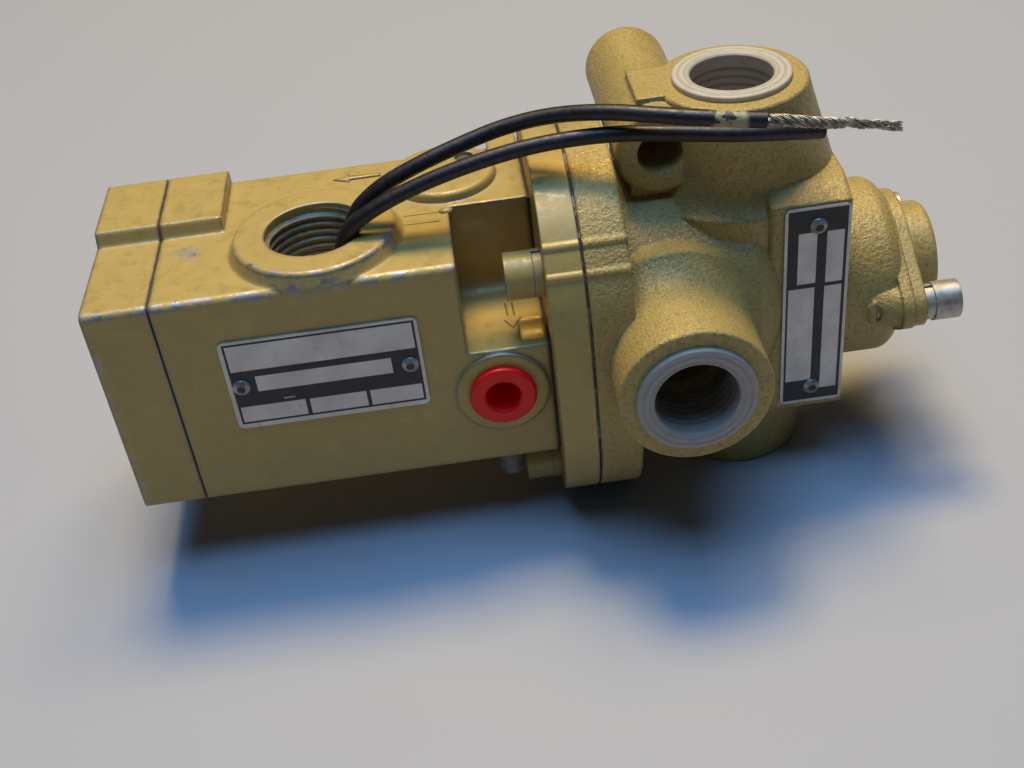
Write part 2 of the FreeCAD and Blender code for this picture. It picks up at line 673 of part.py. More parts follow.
def key_beads(name, start, length):
    """Two beads on the front shoulder of the flange outline."""
    centre = ("-(flange_half_width - flange_top_round)", "flange_top - flange_top_round")
    reach = "(flange_top_round - bead_radius + bead_proud)"
    half = "(bead_spread / flange_top_round * 90 / 3.14159)"
    beads = []
    for index, side in enumerate(("-", "+")):
        angle = "(bead_angle %s %s)" % (side, half)
        spot = (
            "%s + %s * cos(%s)" % (centre[0], reach, angle),
            "%s + %s * sin(%s)" % (centre[1], reach, angle),
        )
        beads.append(rod("%s%d" % (name, index), "bead_radius", length, (start,) + spot, "x"))
    return beads


def valve_body():
    """The casting: flange, core, three port bosses, lobe, nameplate pad and barrel."""
    flange = slab("flange", flange_outline(), "flange_face", "flange_thickness")
    doc.recompute()
    pad = flange.Tip
    right = [
        "Edge%d" % (i + 1) for i, edge in enumerate(pad.Shape.Edges)
        if abs(edge.BoundBox.XMin - value("flange_thickness")) < 0.01
        and abs(edge.BoundBox.XMax - value("flange_thickness")) < 0.01
    ]
    rim = flange.newObject("PartDesign::Fillet", "flange_rim")
    rim.Base = (pad, right)
    rim.setExpression("Radius", formula("flange_edge"))
    flange.Tip = rim
    core = turned("core", [
        ("flange_face + 1", "0"),
        ("flange_face + 1", "core_radius"),
        ("core_right", "core_radius", "core_radius", -1),
        ("shoulder_left", "shoulder_radius"),
        ("shoulder_right", "shoulder_radius"),
        ("shoulder_right + 5", "barrel_root_radius"),
        ("shoulder_right + 5", "0"),
    ], ("0", "0", "port_reach"), "x")
    barrel = turned("barrel", [
        ("shoulder_left", "0"),
        ("shoulder_left", "barrel_radius"),
        ("barrel_end - barrel_round", "barrel_radius", "barrel_round", -1),
        ("barrel_end", "barrel_radius - barrel_round"),
        ("barrel_end", "0"),
    ], ("0", "-barrel_forward", "barrel_height"), "x")
    casing_top = doc.addObject("Part::Circle", "casing_top")
    casing_top.setExpression("Radius", formula("port_boss_radius - 0.02"))
    place(casing_top, ("0", "0", "top_mouth - boss_edge"))
    casing_foot = doc.addObject("Part::Circle", "casing_foot")
    casing_foot.setExpression("Radius", formula("inlet_casing_radius"))
    place(casing_foot, ("inlet_spread", "0", "top_mouth - inlet_casing_height"))
    casing = doc.addObject("Part::Loft", "inlet_casing")
    casing.Sections = [casing_foot, casing_top]
    casing.Solid = True
    casing.Ruled = True
    lobe = turned("lobe", [
        ("-lobe_front", "0"),
        ("lobe_back", "0"),
        ("lobe_back", "lobe_radius - lobe_back_round", "lobe_back_round", 1),
        ("lobe_back - lobe_back_round", "lobe_radius"),
        ("-lobe_front + 0.6", "lobe_radius"),
        ("-lobe_front", "lobe_radius - 0.6"),
    ], ("-lobe_offset", "0", "lobe_height"), "y")
    web = block("lobe_web",
                ("-lobe_offset - lobe_web_width / 2", "-lobe_front + 2", "port_reach"),
                ("-lobe_offset + lobe_web_width / 2", "lobe_web_back", "lobe_height"))
    sleeve_room = rod("sleeve_room", "sleeve_flange_radius + loose_fit", "port_reach",
                      ("0", "0", "top_mouth"), "z")
    carrier = cut("lobe_and_web", fused("lobe_blank", [lobe, web]), [sleeve_room])
    land = block("land",
                 ("-land_left", "-land_front", "top_mouth - land_depth"),
                 ("0", "land_back", "top_mouth"))
    tag_pad = doc.addObject("PartDesign::Body", "tag_pad")
    raised = tag_pad.newObject("PartDesign::Pad", "tag_pad_raised")
    raised.Profile = outline(tag_pad, "YZ_Plane", [
        ("-pad_face", "pad_low"),
        ("0", "pad_low - 2"),
        ("0", "pad_high + pad_slope_rise"),
        ("-pad_face + pad_slope_run", "pad_high + pad_slope_rise"),
        ("-pad_face", "pad_high"),
    ], "tag_pad_outline")
    raised.setExpression("Length", formula("pad_width"))
    place(tag_pad, ("pad_left", "0", "0"))
    doc.recompute()
    soften = tag_pad.newObject("PartDesign::Fillet", "tag_pad_edges")
    soften.Base = (raised, [
        "Edge%d" % (i + 1) for i, edge in enumerate(raised.Shape.Edges)
        if edge.BoundBox.YMax < -value("pad_face") + value("pad_slope_run") + 0.01
        and edge.BoundBox.ZLength > value("pad_slope_rise") / 2
    ])
    soften.setExpression("Radius", formula("pad_round"))
    tag_pad.Tip = soften
    outside = fused("casting", [
        flange, core, barrel, casing, carrier, land, tag_pad,
        port_boss("top_boss", ("0", "0", "port_reach"), "z"),
        port_boss("bottom_boss", ("0", "0", "port_reach"), "-z"),
        port_boss("front_boss", ("-exhaust_offset", "0", "port_reach"), "-y"),
        oval("ears", "body_right - ear_thickness", "ear_thickness", "0"),
        ear_root("front_ear", "-1"),
        ear_root("rear_ear", "1"),
    ] + key_beads("flange_bead", "flange_face", "flange_thickness"))
    bore = turned("main_bore", [
        ("flange_face - 1", "0"),
        ("flange_face - 1", "piston_bore_radius"),
        ("guide_left", "piston_bore_radius"),
        ("guide_left", "chamber_radius"),
        ("exhaust_seat", "chamber_radius"),
        ("exhaust_seat", "seat_radius"),
        ("-outlet_half", "seat_radius"),
        ("-outlet_half", "chamber_radius"),
        ("outlet_half", "chamber_radius"),
        ("outlet_half", "seat_radius"),
        ("inlet_seat", "seat_radius"),
        ("inlet_seat", "chamber_radius"),
        ("inlet_end", "chamber_radius"),
        ("inlet_end + 1.5", "end_bore_radius"),
        ("body_right + 1", "end_bore_radius"),
        ("body_right + 1", "0"),
    ], ("0", "0", "bore_height"), "x")
    bevelled = [("0", "port_bore_radius + port_bevel"), ("port_bevel", "port_bore_radius")]
    slant = rod("inlet_passage", "inlet_passage_radius", "inlet_passage_length",
                ("inlet_passage_start", "0", "top_mouth - inlet_passage_depth"), "-z")
    slant.Placement.Rotation = FreeCAD.Rotation(V(0, 1, 0), 180 - value("inlet_passage_lean"))
    tools = [
        bore, slant,
        block("flange_side", ("flange_face - port_reach", "-port_reach", "0"),
              ("flange_face", "port_reach", "top_mouth")),
        port_bore("top_bore", "outlet_passage_radius", "port_bore_depth + 2",
                  ("0", "0", "top_mouth"), "-z", bevelled),
        port_bore("bottom_bore", "outlet_passage_radius", "port_reach", ("0", "0", "0"), "z",
                  [("0", "port_bore_radius")]),
        port_bore("front_bore", "exhaust_passage_radius", "port_reach",
                  ("-exhaust_offset", "front_mouth", "port_reach"), "y", bevelled),
        rod("lobe_hole", "lobe_hole_radius", "lobe_front + lobe_back + 2",
            ("-lobe_offset", "-lobe_front - 1", "lobe_height"), "y"),
    ]
    for index, spot in enumerate(flange_spots()):
        tools.append(rod("flange_hole%d" % index, "screw_radius + running_fit", "screw_grip + 2",
                         ("flange_face - 1",) + spot, "x"))
    for index, spot in enumerate(retainer_spots()):
        tools.append(rod("ear_hole%d" % index, "retainer_screw_radius + running_fit",
                         "retainer_screw_length - retainer_thickness + 2", ("body_right + 1",) + spot, "-x"))
    for index, (x, z) in enumerate(tag_rivets()):
        tools.append(rod("tag_hole%d" % index, "rivet_shank_radius + running_fit",
                         "rivet_shank + 1", (x, "-pad_face - 1", z), "y"))
    return node("valve_body", cut("valve_body", outside, tools))


def tag_rivets():
    """Rivets of the right nameplate, as (x, z)."""
    middle = "tag_left + tag_width / 2"
    return [(middle, "tag_low + tag_rivet_inset"), (middle, "tag_low + tag_height - tag_rivet_inset")]


def label_rivets():
    """Rivets of the left nameplate, as (x, z)."""
    level = "label_low + label_height / 2 - 0.3"
    return [("-label_left + label_rivet_inset", level),
            ("-label_left + label_width - label_rivet_inset", level)]


def moving_parts():
    """Piston, stem and poppets, which slide together, and what guides and returns them."""
    groove = "(piston_thickness - ring_width) / 2"
    piston = turned("main_piston", [
        ("0", "stem_radius + running_fit"),
        ("piston_thickness", "stem_radius + running_fit"),
        ("piston_thickness", "piston_bore_radius - running_fit"),
        (groove + " + ring_width", "piston_bore_radius - running_fit"),
        (groove + " + ring_width", "piston_bore_radius - ring_depth"),
        (groove, "piston_bore_radius - ring_depth"),
        (groove, "piston_bore_radius - running_fit"),
        ("0", "piston_bore_radius - running_fit"),
    ], ("piston_left", "0", "bore_height"), "x")
    node("main_piston", piston)
    node("piston_seal", turned("piston_seal", [
        (groove + " + 0.05", "piston_bore_radius - ring_depth + 0.05"),
        (groove + " + ring_width - 0.05", "piston_bore_radius - ring_depth + 0.05"),
        (groove + " + ring_width - 0.05", "piston_bore_radius - 0.4"),
        ("piston_thickness / 2", "piston_bore_radius - 0.02"),
        (groove + " + 0.05", "piston_bore_radius - 0.4"),
    ], ("piston_left", "0", "bore_height"), "x"))
    node("stem_guide", turned("stem_guide", [
        ("0", "stem_radius + running_fit"),
        ("guide_thickness", "stem_radius + running_fit"),
        ("guide_thickness", "chamber_radius - 0.02"),
        ("0", "chamber_radius - 0.02"),
    ], ("guide_left", "0", "bore_height"), "x"))
    node("valve_stem", turned("valve_stem", [
        ("piston_left + 0.1", "0"),
        ("piston_left + 0.1", "stem_radius"),
        ("tail_left + stem_tail - 1", "stem_radius"),
        ("tail_left + stem_tail", "stem_radius - 1"),
        ("tail_left + stem_tail", "0"),
    ], ("0", "0", "bore_height"), "x"))
    poppet = [
        ("0", "stem_radius + running_fit"),
        ("0", "seat_radius - 1.2"),
        ("0.6", "seat_radius - 0.4"),
        ("0.6", "seat_radius"),
        ("0", "seat_radius + 0.3"),
        ("0", "poppet_radius - 0.5"),
        ("0.5", "poppet_radius"),
        ("poppet_thickness", "poppet_radius"),
        ("poppet_thickness", "stem_radius + running_fit"),
    ]
    node("inlet_poppet", turned("inlet_poppet", poppet, ("poppet_left", "0", "bore_height"), "x"))
    node("exhaust_poppet", turned(
        "exhaust_poppet", poppet,
        ("exhaust_seat - seal_gap - stroke", "0", "bore_height"), "-x"))
    node("return_spring", coil_spring(
        "return_spring", "spring_radius", "spring_wire", "spring_turns",
        "tail_left", "spigot_left", ("tail_left + spring_wire", "0", "bore_height"), "x", 8))


def end_retainer():
    """Oval plate with a spigot and a round cap that closes the right end, its seal and screws."""
    groove = "(retainer_spigot - retainer_ring_width) / 2"
    spigot_radius = "end_bore_radius - loose_fit"
    middle = turned("retainer_middle", [
        ("0", "0"),
        ("0", spigot_radius),
        (groove, spigot_radius),
        (groove, "end_bore_radius - retainer_ring_depth"),
        (groove + " + retainer_ring_width", "end_bore_radius - retainer_ring_depth"),
        (groove + " + retainer_ring_width", spigot_radius),
        ("retainer_spigot", spigot_radius),
        ("retainer_spigot + retainer_thickness", spigot_radius),
        ("retainer_spigot + retainer_thickness", "dome_radius"),
        ("retainer_spigot + retainer_thickness + dome_height - dome_round", "dome_radius", "dome_round", -1),
        ("retainer_spigot + retainer_thickness + dome_height", "dome_radius - dome_round"),
        ("retainer_spigot + retainer_thickness + dome_height", "0"),
    ], ("spigot_left", "0", "bore_height"), "x")
    blank = fused("retainer_blank", [middle, oval("retainer_oval", "body_right", "retainer_thickness", "-0.4")])
    tools = [rod("tail_bore", "stem_radius + running_fit", "tail_left + stem_tail + stroke + 1 - spigot_left + 1",
                 ("spigot_left - 1", "0", "bore_height"), "x")]
    for index, spot in enumerate(retainer_spots()):
        tools.append(rod("retainer_hole%d" % index, "retainer_screw_radius + loose_fit",
                         "retainer_thickness + 2", ("body_right - 1",) + spot, "x"))
    node("end_retainer", cut("end_retainer", blank, tools))
    node("retainer_seal", turned("retainer_seal", [
        (groove + " + 0.05", "end_bore_radius - retainer_ring_depth + 0.05"),
        (groove + " + retainer_ring_width - 0.05", "end_bore_radius - retainer_ring_depth + 0.05"),
        (groove + " + retainer_ring_width - 0.05", "end_bore_radius - 0.3"),
        ("retainer_spigot / 2", "end_bore_radius - 0.02"),
        (groove + " + 0.05", "end_bore_radius - 0.3"),
    ], ("spigot_left", "0", "bore_height"), "x"))
    screws, washers = [], []
    for index, spot in enumerate(retainer_spots()):
        screws.append(screw("retainer_screw%d" % index, "retainer_screw_radius",
                            "retainer_screw_length + retainer_washer",
                            "retainer_head_radius", "retainer_head",
                            ("retainer_head_left",) + spot, "-x"))
        washers.append(washer("retainer_washer%d" % index, "retainer_washer_radius",
                              "retainer_screw_radius + loose_fit", "retainer_washer",
                              ("washer_left",) + spot))
    node("retainer_screws", grouped("retainer_screws", screws))
    node("retainer_washers", grouped("retainer_washers", washers))


def washer(name, outer, inner, thickness, at):
    """A split lock washer."""
    ring = rod(name + "_ring", outer, thickness, at, "x")
    hole = rod(name + "_hole", inner, "(%s) + 2" % thickness, ("%s - 1" % at[0],) + tuple(at[1:]), "x")
    split = block(name + "_split",
                  ("%s - 1" % at[0], "%s - washer_split / 2" % at[1], at[2]),
                  ("%s + %s + 1" % (at[0], thickness), "%s + washer_split / 2" % at[1],
                   "%s + %s + 1" % (at[2], outer)))
    return cut(name, ring, [hole, split])


def adapter_plate():
    """Plate between housing and casting, with a gasket on each side, its screws and washers."""
    blank = fused("plate_blank", [slab("plate_slab", flange_outline(), "plate_left", "plate_thickness")]
                  + key_beads("plate_bead", "plate_left", "plate_thickness"))
    tools = [
        rod("plate_recess_tool", "piston_bore_radius", "plate_recess + 1",
            ("plate_floor", "0", "bore_height"), "x"),
        rod("plate_pilot_way", "pilot_way_radius", "plate_thickness + 2",
            ("plate_left - 1", "0", "bore_height"), "x"),
    ]
    for index, spot in enumerate(flange_spots()):
        tools.append(rod("plate_hole%d" % index, "screw_radius + loose_fit", "plate_thickness + 2",
                         ("plate_left - 1",) + spot, "x"))
    for index, spot in enumerate(inner_spots()):
        tools.append(rod("plate_tapped%d" % index, "inner_screw_radius + running_fit",
                         "inner_grip + 1.2", ("plate_left - 1",) + spot, "x"))
    node("adapter_plate", cut("adapter_plate", blank, tools))

    seal = slab("body_gasket_sheet", flange_outline("gasket_inset"), "plate_right", "gasket_thickness")
    holes = [rod("gasket_bore", "piston_bore_radius", "gasket_thickness + 2",
                 ("plate_right - 1", "0", "bore_height"), "x")]
    for index, spot in enumerate(flange_spots()):
        holes.append(rod("gasket_hole%d" % index, "screw_radius + loose_fit", "gasket_thickness + 2",
                         ("plate_right - 1",) + spot, "x"))
    node("body_gasket", cut("body_gasket", seal, holes))

    seal = slab("pilot_gasket_sheet", housing_outline("gasket_inset"), "housing_right", "gasket_thickness")
    holes = [
        rod("pilot_gasket_way", "pilot_way_radius", "gasket_thickness + 2",
            ("housing_right - 1", "0", "bore_height"), "x"),
        notch_tool("gasket_notch"),
        pocket_tool("gasket_pocket"),
    ]
    for index, spot in enumerate(inner_spots()):
        holes.append(rod("pilot_gasket_hole%d" % index, "inner_screw_radius + loose_fit",
                         "gasket_thickness + 2", ("housing_right - 1",) + spot, "x"))
    node("pilot_gasket", cut("pilot_gasket", seal, holes))

    screws, washers = [], []
    for index, spot in enumerate(flange_spots()):
        screws.append(screw("flange_screw%d" % index, "screw_radius",
                            "screw_washer + plate_thickness + gasket_thickness + screw_grip",
                            "screw_head_radius", "screw_head",
                            ("plate_left - screw_washer",) + spot, "x"))
        washers.append(washer("flange_washer%d" % index, "screw_head_radius + 0.1",
                              "screw_radius + loose_fit", "screw_washer",
                              ("plate_left - screw_washer",) + spot))
    node("flange_screws", grouped("flange_screws", screws))
    node("flange_washers", grouped("flange_washers", washers))


def notch_tool(name):
    """Corner cut out of the housing over the front flange screw, with a rounded inner corner."""
    return slab(name, [
        ("-housing_front - 4", "notch_floor"),
        ("-notch_back - notch_round", "notch_floor", "notch_round", 1),
        ("-notch_back", "notch_floor + notch_round"),
        ("-notch_back", "housing_high + 6"),
        ("-housing_front - 4", "housing_high + 6"),
    ], "-notch_left", "notch_left + plate_left + 0.001")


def pocket_tool(name):
    """Pocket over the rear flange screw, open to the back."""
    return block(name,
                 ("-pocket_left", "screw_high_y - pocket_reach", "screw_high_z - pocket_reach"),
                 ("plate_left", "housing_back + 2", "screw_high_z + pocket_reach"))


def step(name, start, length):
    """Raised step on the rear half of the top face, with a sloped front side."""
    return slab(name, [
        ("step_front", "housing_high - 1"),
        ("housing_back - 0.01", "housing_high - 2"),
        ("housing_back - 0.01", "housing_high + step_height - housing_edge", "housing_edge", 1),
        ("housing_back - housing_edge - 0.01", "housing_high + step_height"),
        ("step_front + step_slope", "housing_high + step_height"),
        ("step_front", "housing_high"),
    ], start, length)


def pilot_housing():
    """Die-cast housing of the solenoid, with its conduit boss, override boss and pilot port."""
    conduit = turned("conduit_boss", [
        ("0", "0"),
        ("0", "conduit_boss_radius - 1"),
        ("conduit_foot - 2", "conduit_boss_radius + conduit_flare"),
        ("conduit_foot", "conduit_boss_radius + conduit_flare - 0.3"),
        ("conduit_foot + conduit_rise - conduit_edge", "conduit_boss_radius", "conduit_edge", -1),
        ("conduit_foot + conduit_rise", "conduit_boss_radius - conduit_edge"),
        ("conduit_foot + conduit_rise", "0"),
    ], ("-conduit_x", "-conduit_y", "housing_high - conduit_foot"), "z")
    disc = turned("override_boss", [
        ("-4", "0"),
        ("-4", "disc_radius"),
        ("disc_rise - disc_edge", "disc_radius", "disc_edge", -1),
        ("disc_rise", "disc_radius - disc_edge"),
        ("disc_rise", "0"),
    ], ("-disc_x", "disc_y", "housing_high"), "z")
    pilot = rod("pilot_boss", "pilot_boss_radius", "pilot_boss_rise + 8",
                ("-pilot_x", "-housing_front + 8", "pilot_z"), "-y")
    shell = fused("housing_blank", [
        slab("housing_slab", housing_outline(), "housing_left", "housing_length"),
        step("housing_step", "housing_left", "step_length"),
        block("rear_lug", ("-lug_left", "lug_front", "screw_high_z"), ("housing_right", "lug_back", "lug_high")),
        conduit, disc, pilot,
    ])
    tools = [
        slab("cavity", cavity_outline(), "housing_left - 1", "cavity_depth + 1"),
        notch_tool("notch"),
        pocket_tool("pocket"),
        rod("dimple", "dimple_radius", "dimple_length",
            ("housing_right - dimple_length + 1", "-screw_high_y", "notch_floor + 2.6"), "x"),
        rod("conduit_thread", "conduit_radius", "conduit_depth + 1",
            ("-conduit_x", "-conduit_y", "conduit_floor"), "z"),
        rod("lead_hole", "lead_hole_radius", "conduit_floor - cavity_high + 2",
            ("-lead_hole_x", "-lead_hole_y", "cavity_high - 1"), "z"),
        rod("button_hole", "button_radius + running_fit", "button_bore + 1",
            ("-button_x", "button_y", "disc_face - button_bore"), "z"),
        rod("button_chamber", "button_foot_radius + running_fit", "button_bore - button_cover",
            ("-button_x", "button_y", "disc_face - button_bore"), "z"),
        rod("pilot_thread", "pilot_bore_radius", "pilot_bore_depth + 1",
            ("-pilot_x", "-housing_front - pilot_boss_rise - 1", "pilot_z"), "y"),
        rod("pilot_supply", "1.5", "housing_front", ("-pilot_x", "-housing_front + 2", "pilot_z"), "y"),
        rod("nozzle_chamber", "core_tube_radius + 0.6", "2.5", ("cavity_right - 0.5", "0", "solenoid_z"), "x"),
        rod("nozzle_thread", "nozzle_radius + running_fit", "nozzle_length",
            ("nozzle_tip", "0", "solenoid_z"), "x"),
        rod("nozzle_way", "1.5", "-pilot_x - nozzle_tip + 1", ("nozzle_tip", "0", "solenoid_z"), "x"),
        rod("pilot_outlet", "1.5", "housing_right - cavity_right + 2",
            ("cavity_right - 1", "0", "bore_height"), "x"),
        rod("pilot_chamber", "pilot_way_radius + 3", "6", ("housing_right - 5", "0", "bore_height"), "x"),
        rod("vent_hole", "vent_shank_radius + running_fit", "vent_shank + 1",
            ("-pilot_x", "-vent_y", "housing_low - 1"), "z"),
    ]
    for index, spot in enumerate(cap_spots()):
        tools.append(rod("housing_tapped%d" % index, "inner_screw_radius + running_fit",
                         "cap_screw_grip + 2", ("housing_left - 1",) + spot, "x"))
    for index, spot in enumerate(inner_spots()):
        tools.append(rod("housing_hole%d" % index, "inner_screw_radius + loose_fit",
                         "housing_length", ("cavity_right - 1",) + spot, "x"))
    for index, (x, z) in enumerate(label_rivets()):
        tools.append(rod("label_hole%d" % index, "rivet_shank_radius + running_fit", "rivet_shank + 1",
                         (x, "-housing_front - 1", z), "y"))
    node("pilot_housing", cut("pilot_housing", shell, tools))


def housing_fittings():
    """Override button and its spring, and the plug under the housing."""
    foot = "disc_face - button_cover - button_foot"
    rise = "button_cover + button_foot - button_sunk"
    node("override_button", turned("override_button", [
        ("0", "0"),
        ("0", "button_foot_radius"),
        ("button_foot", "button_foot_radius"),
        ("button_foot", "button_radius"),
        (rise + " - 0.4", "button_radius", "0.4", -1),
        (rise, "button_radius - 0.4"),
        (rise, "0"),
    ], ("-button_x", "button_y", foot + " - seal_gap"), "z"))
    node("override_spring", coil_spring(
        "override_spring", "button_foot_radius - 0.7", "button_spring_wire", "4",
        "disc_face - button_bore", foot + " - seal_gap",
        ("-button_x", "button_y", "disc_face - button_bore + button_spring_wire"), "z"))
    blank = fused("vent_plug_blank", [
        rod("vent_shank_rod", "vent_shank_radius", "vent_shank", ("-pilot_x", "-vent_y", "housing_low"), "z"),
        rod("vent_head_rod", "vent_radius", "vent_head", ("-pilot_x", "-vent_y", "housing_low"), "-z"),
    ])
    slot = block("vent_slot",
                 ("-pilot_x - vent_radius - 1", "-vent_y - 0.5", "housing_low - vent_head - 1"),
                 ("-pilot_x + vent_radius + 1", "-vent_y + 0.5", "housing_low - vent_head + 1.6"))
    node("vent_plug", cut("vent_plug", blank, [slot]))


def end_cap():
    """Hollow cap that closes the left end, its gasket and its screws."""
    blank = fused("cap_blank", [
        slab("cap_slab", housing_outline(), "cap_left", "cap_length"),
        step("cap_step", "cap_left", "cap_length"),
    ])
    tools = [slab("cap_hollow_tool", cavity_outline(), "cap_right - cap_hollow", "cap_hollow + 1")]
    for index, spot in enumerate(cap_spots()):
        tools.append(rod("cap_hole%d" % index, "inner_screw_radius + loose_fit", "cap_length + 2",
                         ("cap_left - 1",) + spot, "x"))
        tools.append(rod("cap_sink%d" % index, "inner_head_radius + loose_fit", "inner_head + 1.3",
                         ("cap_left - 1",) + spot, "x"))
    node("end_cap", cut("end_cap", blank, tools))

    seal = slab("cap_gasket_sheet", housing_outline("gasket_inset"), "cap_right", "cap_gasket")
    holes = [slab("cap_gasket_window", cavity_outline(), "cap_right - 1", "cap_gasket + 2")]
    for index, spot in enumerate(cap_spots()):
        holes.append(rod("cap_gasket_hole%d" % index, "inner_screw_radius + loose_fit", "cap_gasket + 2",
                         ("cap_right - 1",) + spot, "x"))
    node("cap_gasket", cut("cap_gasket", seal, holes))

    node("cap_screws", grouped("cap_screws", [
        screw("cap_screw%d" % index, "inner_screw_radius",
              "cap_length - inner_head - 0.3 + cap_gasket + cap_screw_grip",
              "inner_head_radius", "inner_head", ("cap_left + inner_head + 0.3",) + spot, "x")
        for index, spot in enumerate(cap_spots())
    ]))
    node("housing_screws", grouped("housing_screws", [
        rod("housing_screw%d" % index, "inner_screw_radius",
            "plate_left + inner_grip - cavity_right - inner_sunk",
            ("cavity_right + inner_sunk",) + spot, "x")
        for index, spot in enumerate(inner_spots())
    ]))


def solenoid():
    """Coil, yoke, core tube, pole piece, plunger, its seal and spring, and the pilot seat."""
    axis = ("0", "solenoid_z")
    inside = "core_tube_radius + loose_fit"
    bobbin = turned("bobbin_turned", [
        ("0", inside),
        ("coil_length", inside),
        ("coil_length", "coil_flange_radius"),
        ("coil_length - coil_flange", "coil_flange_radius"),
        ("coil_length - coil_flange", inside + " + bobbin_wall"),
        ("coil_flange", inside + " + bobbin_wall"),
        ("coil_flange", "coil_flange_radius"),
        ("0", "coil_flange_radius"),
    ], ("coil_left",) + axis, "x")
    node("coil_bobbin", bobbin)
    winding = turned("winding_turned", [
        ("coil_flange + 0.02", inside + " + bobbin_wall + 0.02"),
        ("coil_length - coil_flange - 0.02", inside + " + bobbin_wall + 0.02"),
        ("coil_length - coil_flange - 0.02", "coil_radius"),
        ("coil_flange + 0.02", "coil_radius"),
    ], ("coil_left",) + axis, "x")
    leads = block("lead_block",
                  ("-lead_hole_x - lead_block / 2", "-lead_hole_y - lead_block / 2 + 1", "solenoid_z + 6"),
                  ("coil_left + coil_length - coil_flange - 0.02", "-2", "cavity_high - 0.5"))
    bore = rod("lead_block_bore", "coil_radius - 1", "coil_length", ("coil_left",) + axis, "x")
    node("coil_winding", fused("coil_winding", [winding, cut("lead_block_cut", leads, [bore])]))

    left, right = "coil_left - yoke_thickness - loose_fit", "coil_left + coil_length + loose_fit"
    low = "solenoid_z - coil_flange_radius - yoke_thickness - loose_fit"
    plates = [
        block("yoke_left", (left, "-yoke_half_width", low),
              (left + " + yoke_thickness", "yoke_half_width", "solenoid_z + coil_flange_radius")),
        block("yoke_right", (right, "-yoke_half_width", low),
              (right + " + yoke_thickness", "yoke_half_width", "solenoid_z + coil_flange_radius")),
        block("yoke_floor", (left, "-yoke_half_width", low),
              (right + " + yoke_thickness", "yoke_half_width", low + " + yoke_thickness")),
    ]
    hole = rod("yoke_hole", "core_tube_radius + loose_fit", "coil_length + 12",
               ("coil_left - 5",) + axis, "x")
    node("coil_yoke", cut("coil_yoke", fused("yoke_blank", plates), [hole]))

    node("core_tube", turned("core_tube", [
        ("tube_left", "tube_inside"),
        ("cavity_right", "tube_inside"),
        ("cavity_right", "core_flange_radius"),
        ("tube_right", "core_flange_radius"),
        ("tube_right", "core_tube_radius"),
        ("tube_left", "core_tube_radius"),
    ], ("0",) + axis, "x"))
    node("pole_piece", turned("pole_piece", [
        ("tube_left", "0"),
        ("tube_left", "tube_inside - 0.02"),
        ("pole_right", "tube_inside - 0.02"),
        ("pole_right", "0"),
    ], ("0",) + axis, "x"))
    pocket = "plunger_seal_radius + 0.9"
    node("solenoid_plunger", turned("solenoid_plunger", [
        ("plunger_left", pocket),
        ("plunger_left", "tube_inside - running_fit"),
        ("plunger_right", "tube_inside - running_fit"),
        ("plunger_right", "plunger_seal_radius + 0.02"),
        ("plunger_right - plunger_seal - 0.02", "plunger_seal_radius + 0.02"),
        ("plunger_right - plunger_seal - 0.02", "0"),
        ("plunger_left + plunger_pocket", "0"),
        ("plunger_left + plunger_pocket", pocket),
    ], ("0",) + axis, "x"))
    node("plunger_seal", turned("plunger_seal", [
        ("plunger_right - plunger_seal", "0"),
        ("plunger_right - plunger_seal", "plunger_seal_radius"),
        ("plunger_right", "plunger_seal_radius"),
        ("plunger_right", "0"),
    ], ("0",) + axis, "x"))
    node("plunger_spring", coil_spring(
        "plunger_spring", pocket + " - plunger_spring_wire - 0.3", "plunger_spring_wire", "5",
        "pole_right", "plunger_left + plunger_pocket",
        ("pole_right + plunger_spring_wire",) + axis, "x"))
    node("pilot_seat", turned("pilot_seat", [
        ("nozzle_tip", "nozzle_hole"),
        ("nozzle_tip", "nozzle_hole + 0.8"),
        ("nozzle_tip + 1.6", "nozzle_hole + 1.6"),
        ("nozzle_tip + 1.6", "nozzle_radius"),
        ("nozzle_tip + nozzle_length", "nozzle_radius"),
        ("nozzle_tip + nozzle_length", "nozzle_hole"),
    ], ("0",) + axis, "x"))


def port_fillings():
    """Thread protectors in the top and front ports and the plug in the pilot port."""
    sleeve = [
        ("-sleeve_flange", "sleeve_bore_radius + 0.5"),
        ("-sleeve_flange", "sleeve_flange_radius - 0.3"),
        ("-sleeve_flange + 0.3", "sleeve_flange_radius"),
        ("0", "sleeve_flange_radius"),
        ("0", "port_bore_radius - loose_fit"),
        ("sleeve_depth", "port_bore_radius - loose_fit - 0.4"),
        ("sleeve_depth", "sleeve_bore_radius"),
        ("-sleeve_flange + 0.5", "sleeve_bore_radius"),
    ]
    node("top_port_protector", turned("top_protector", sleeve, ("0", "0", "top_mouth"), "-z"))
    node("front_port_protector", turned(
        "front_protector", sleeve, ("-exhaust_offset", "front_mouth", "port_reach"), "y"))
    node("pilot_port_plug", turned("pilot_plug", [
        ("-plug_flange", "plug_hole_radius + 0.5"),
        ("-plug_flange", "plug_flange_radius - 0.8", "0.8", -1),
        ("-plug_flange + 0.8", "plug_flange_radius"),
        ("0", "plug_flange_radius"),
        ("0", "pilot_bore_radius - loose_fit"),
        ("plug_depth", "pilot_bore_radius - loose_fit - 0.4"),
        ("plug_depth", "0"),
        ("plug_depth - plug_floor", "0"),
        ("plug_depth - plug_floor", "plug_hole_radius"),
        ("-plug_flange + 0.5", "plug_hole_radius"),
    ], ("-pilot_x", "-housing_front - pilot_boss_rise", "pilot_z"), "y"))


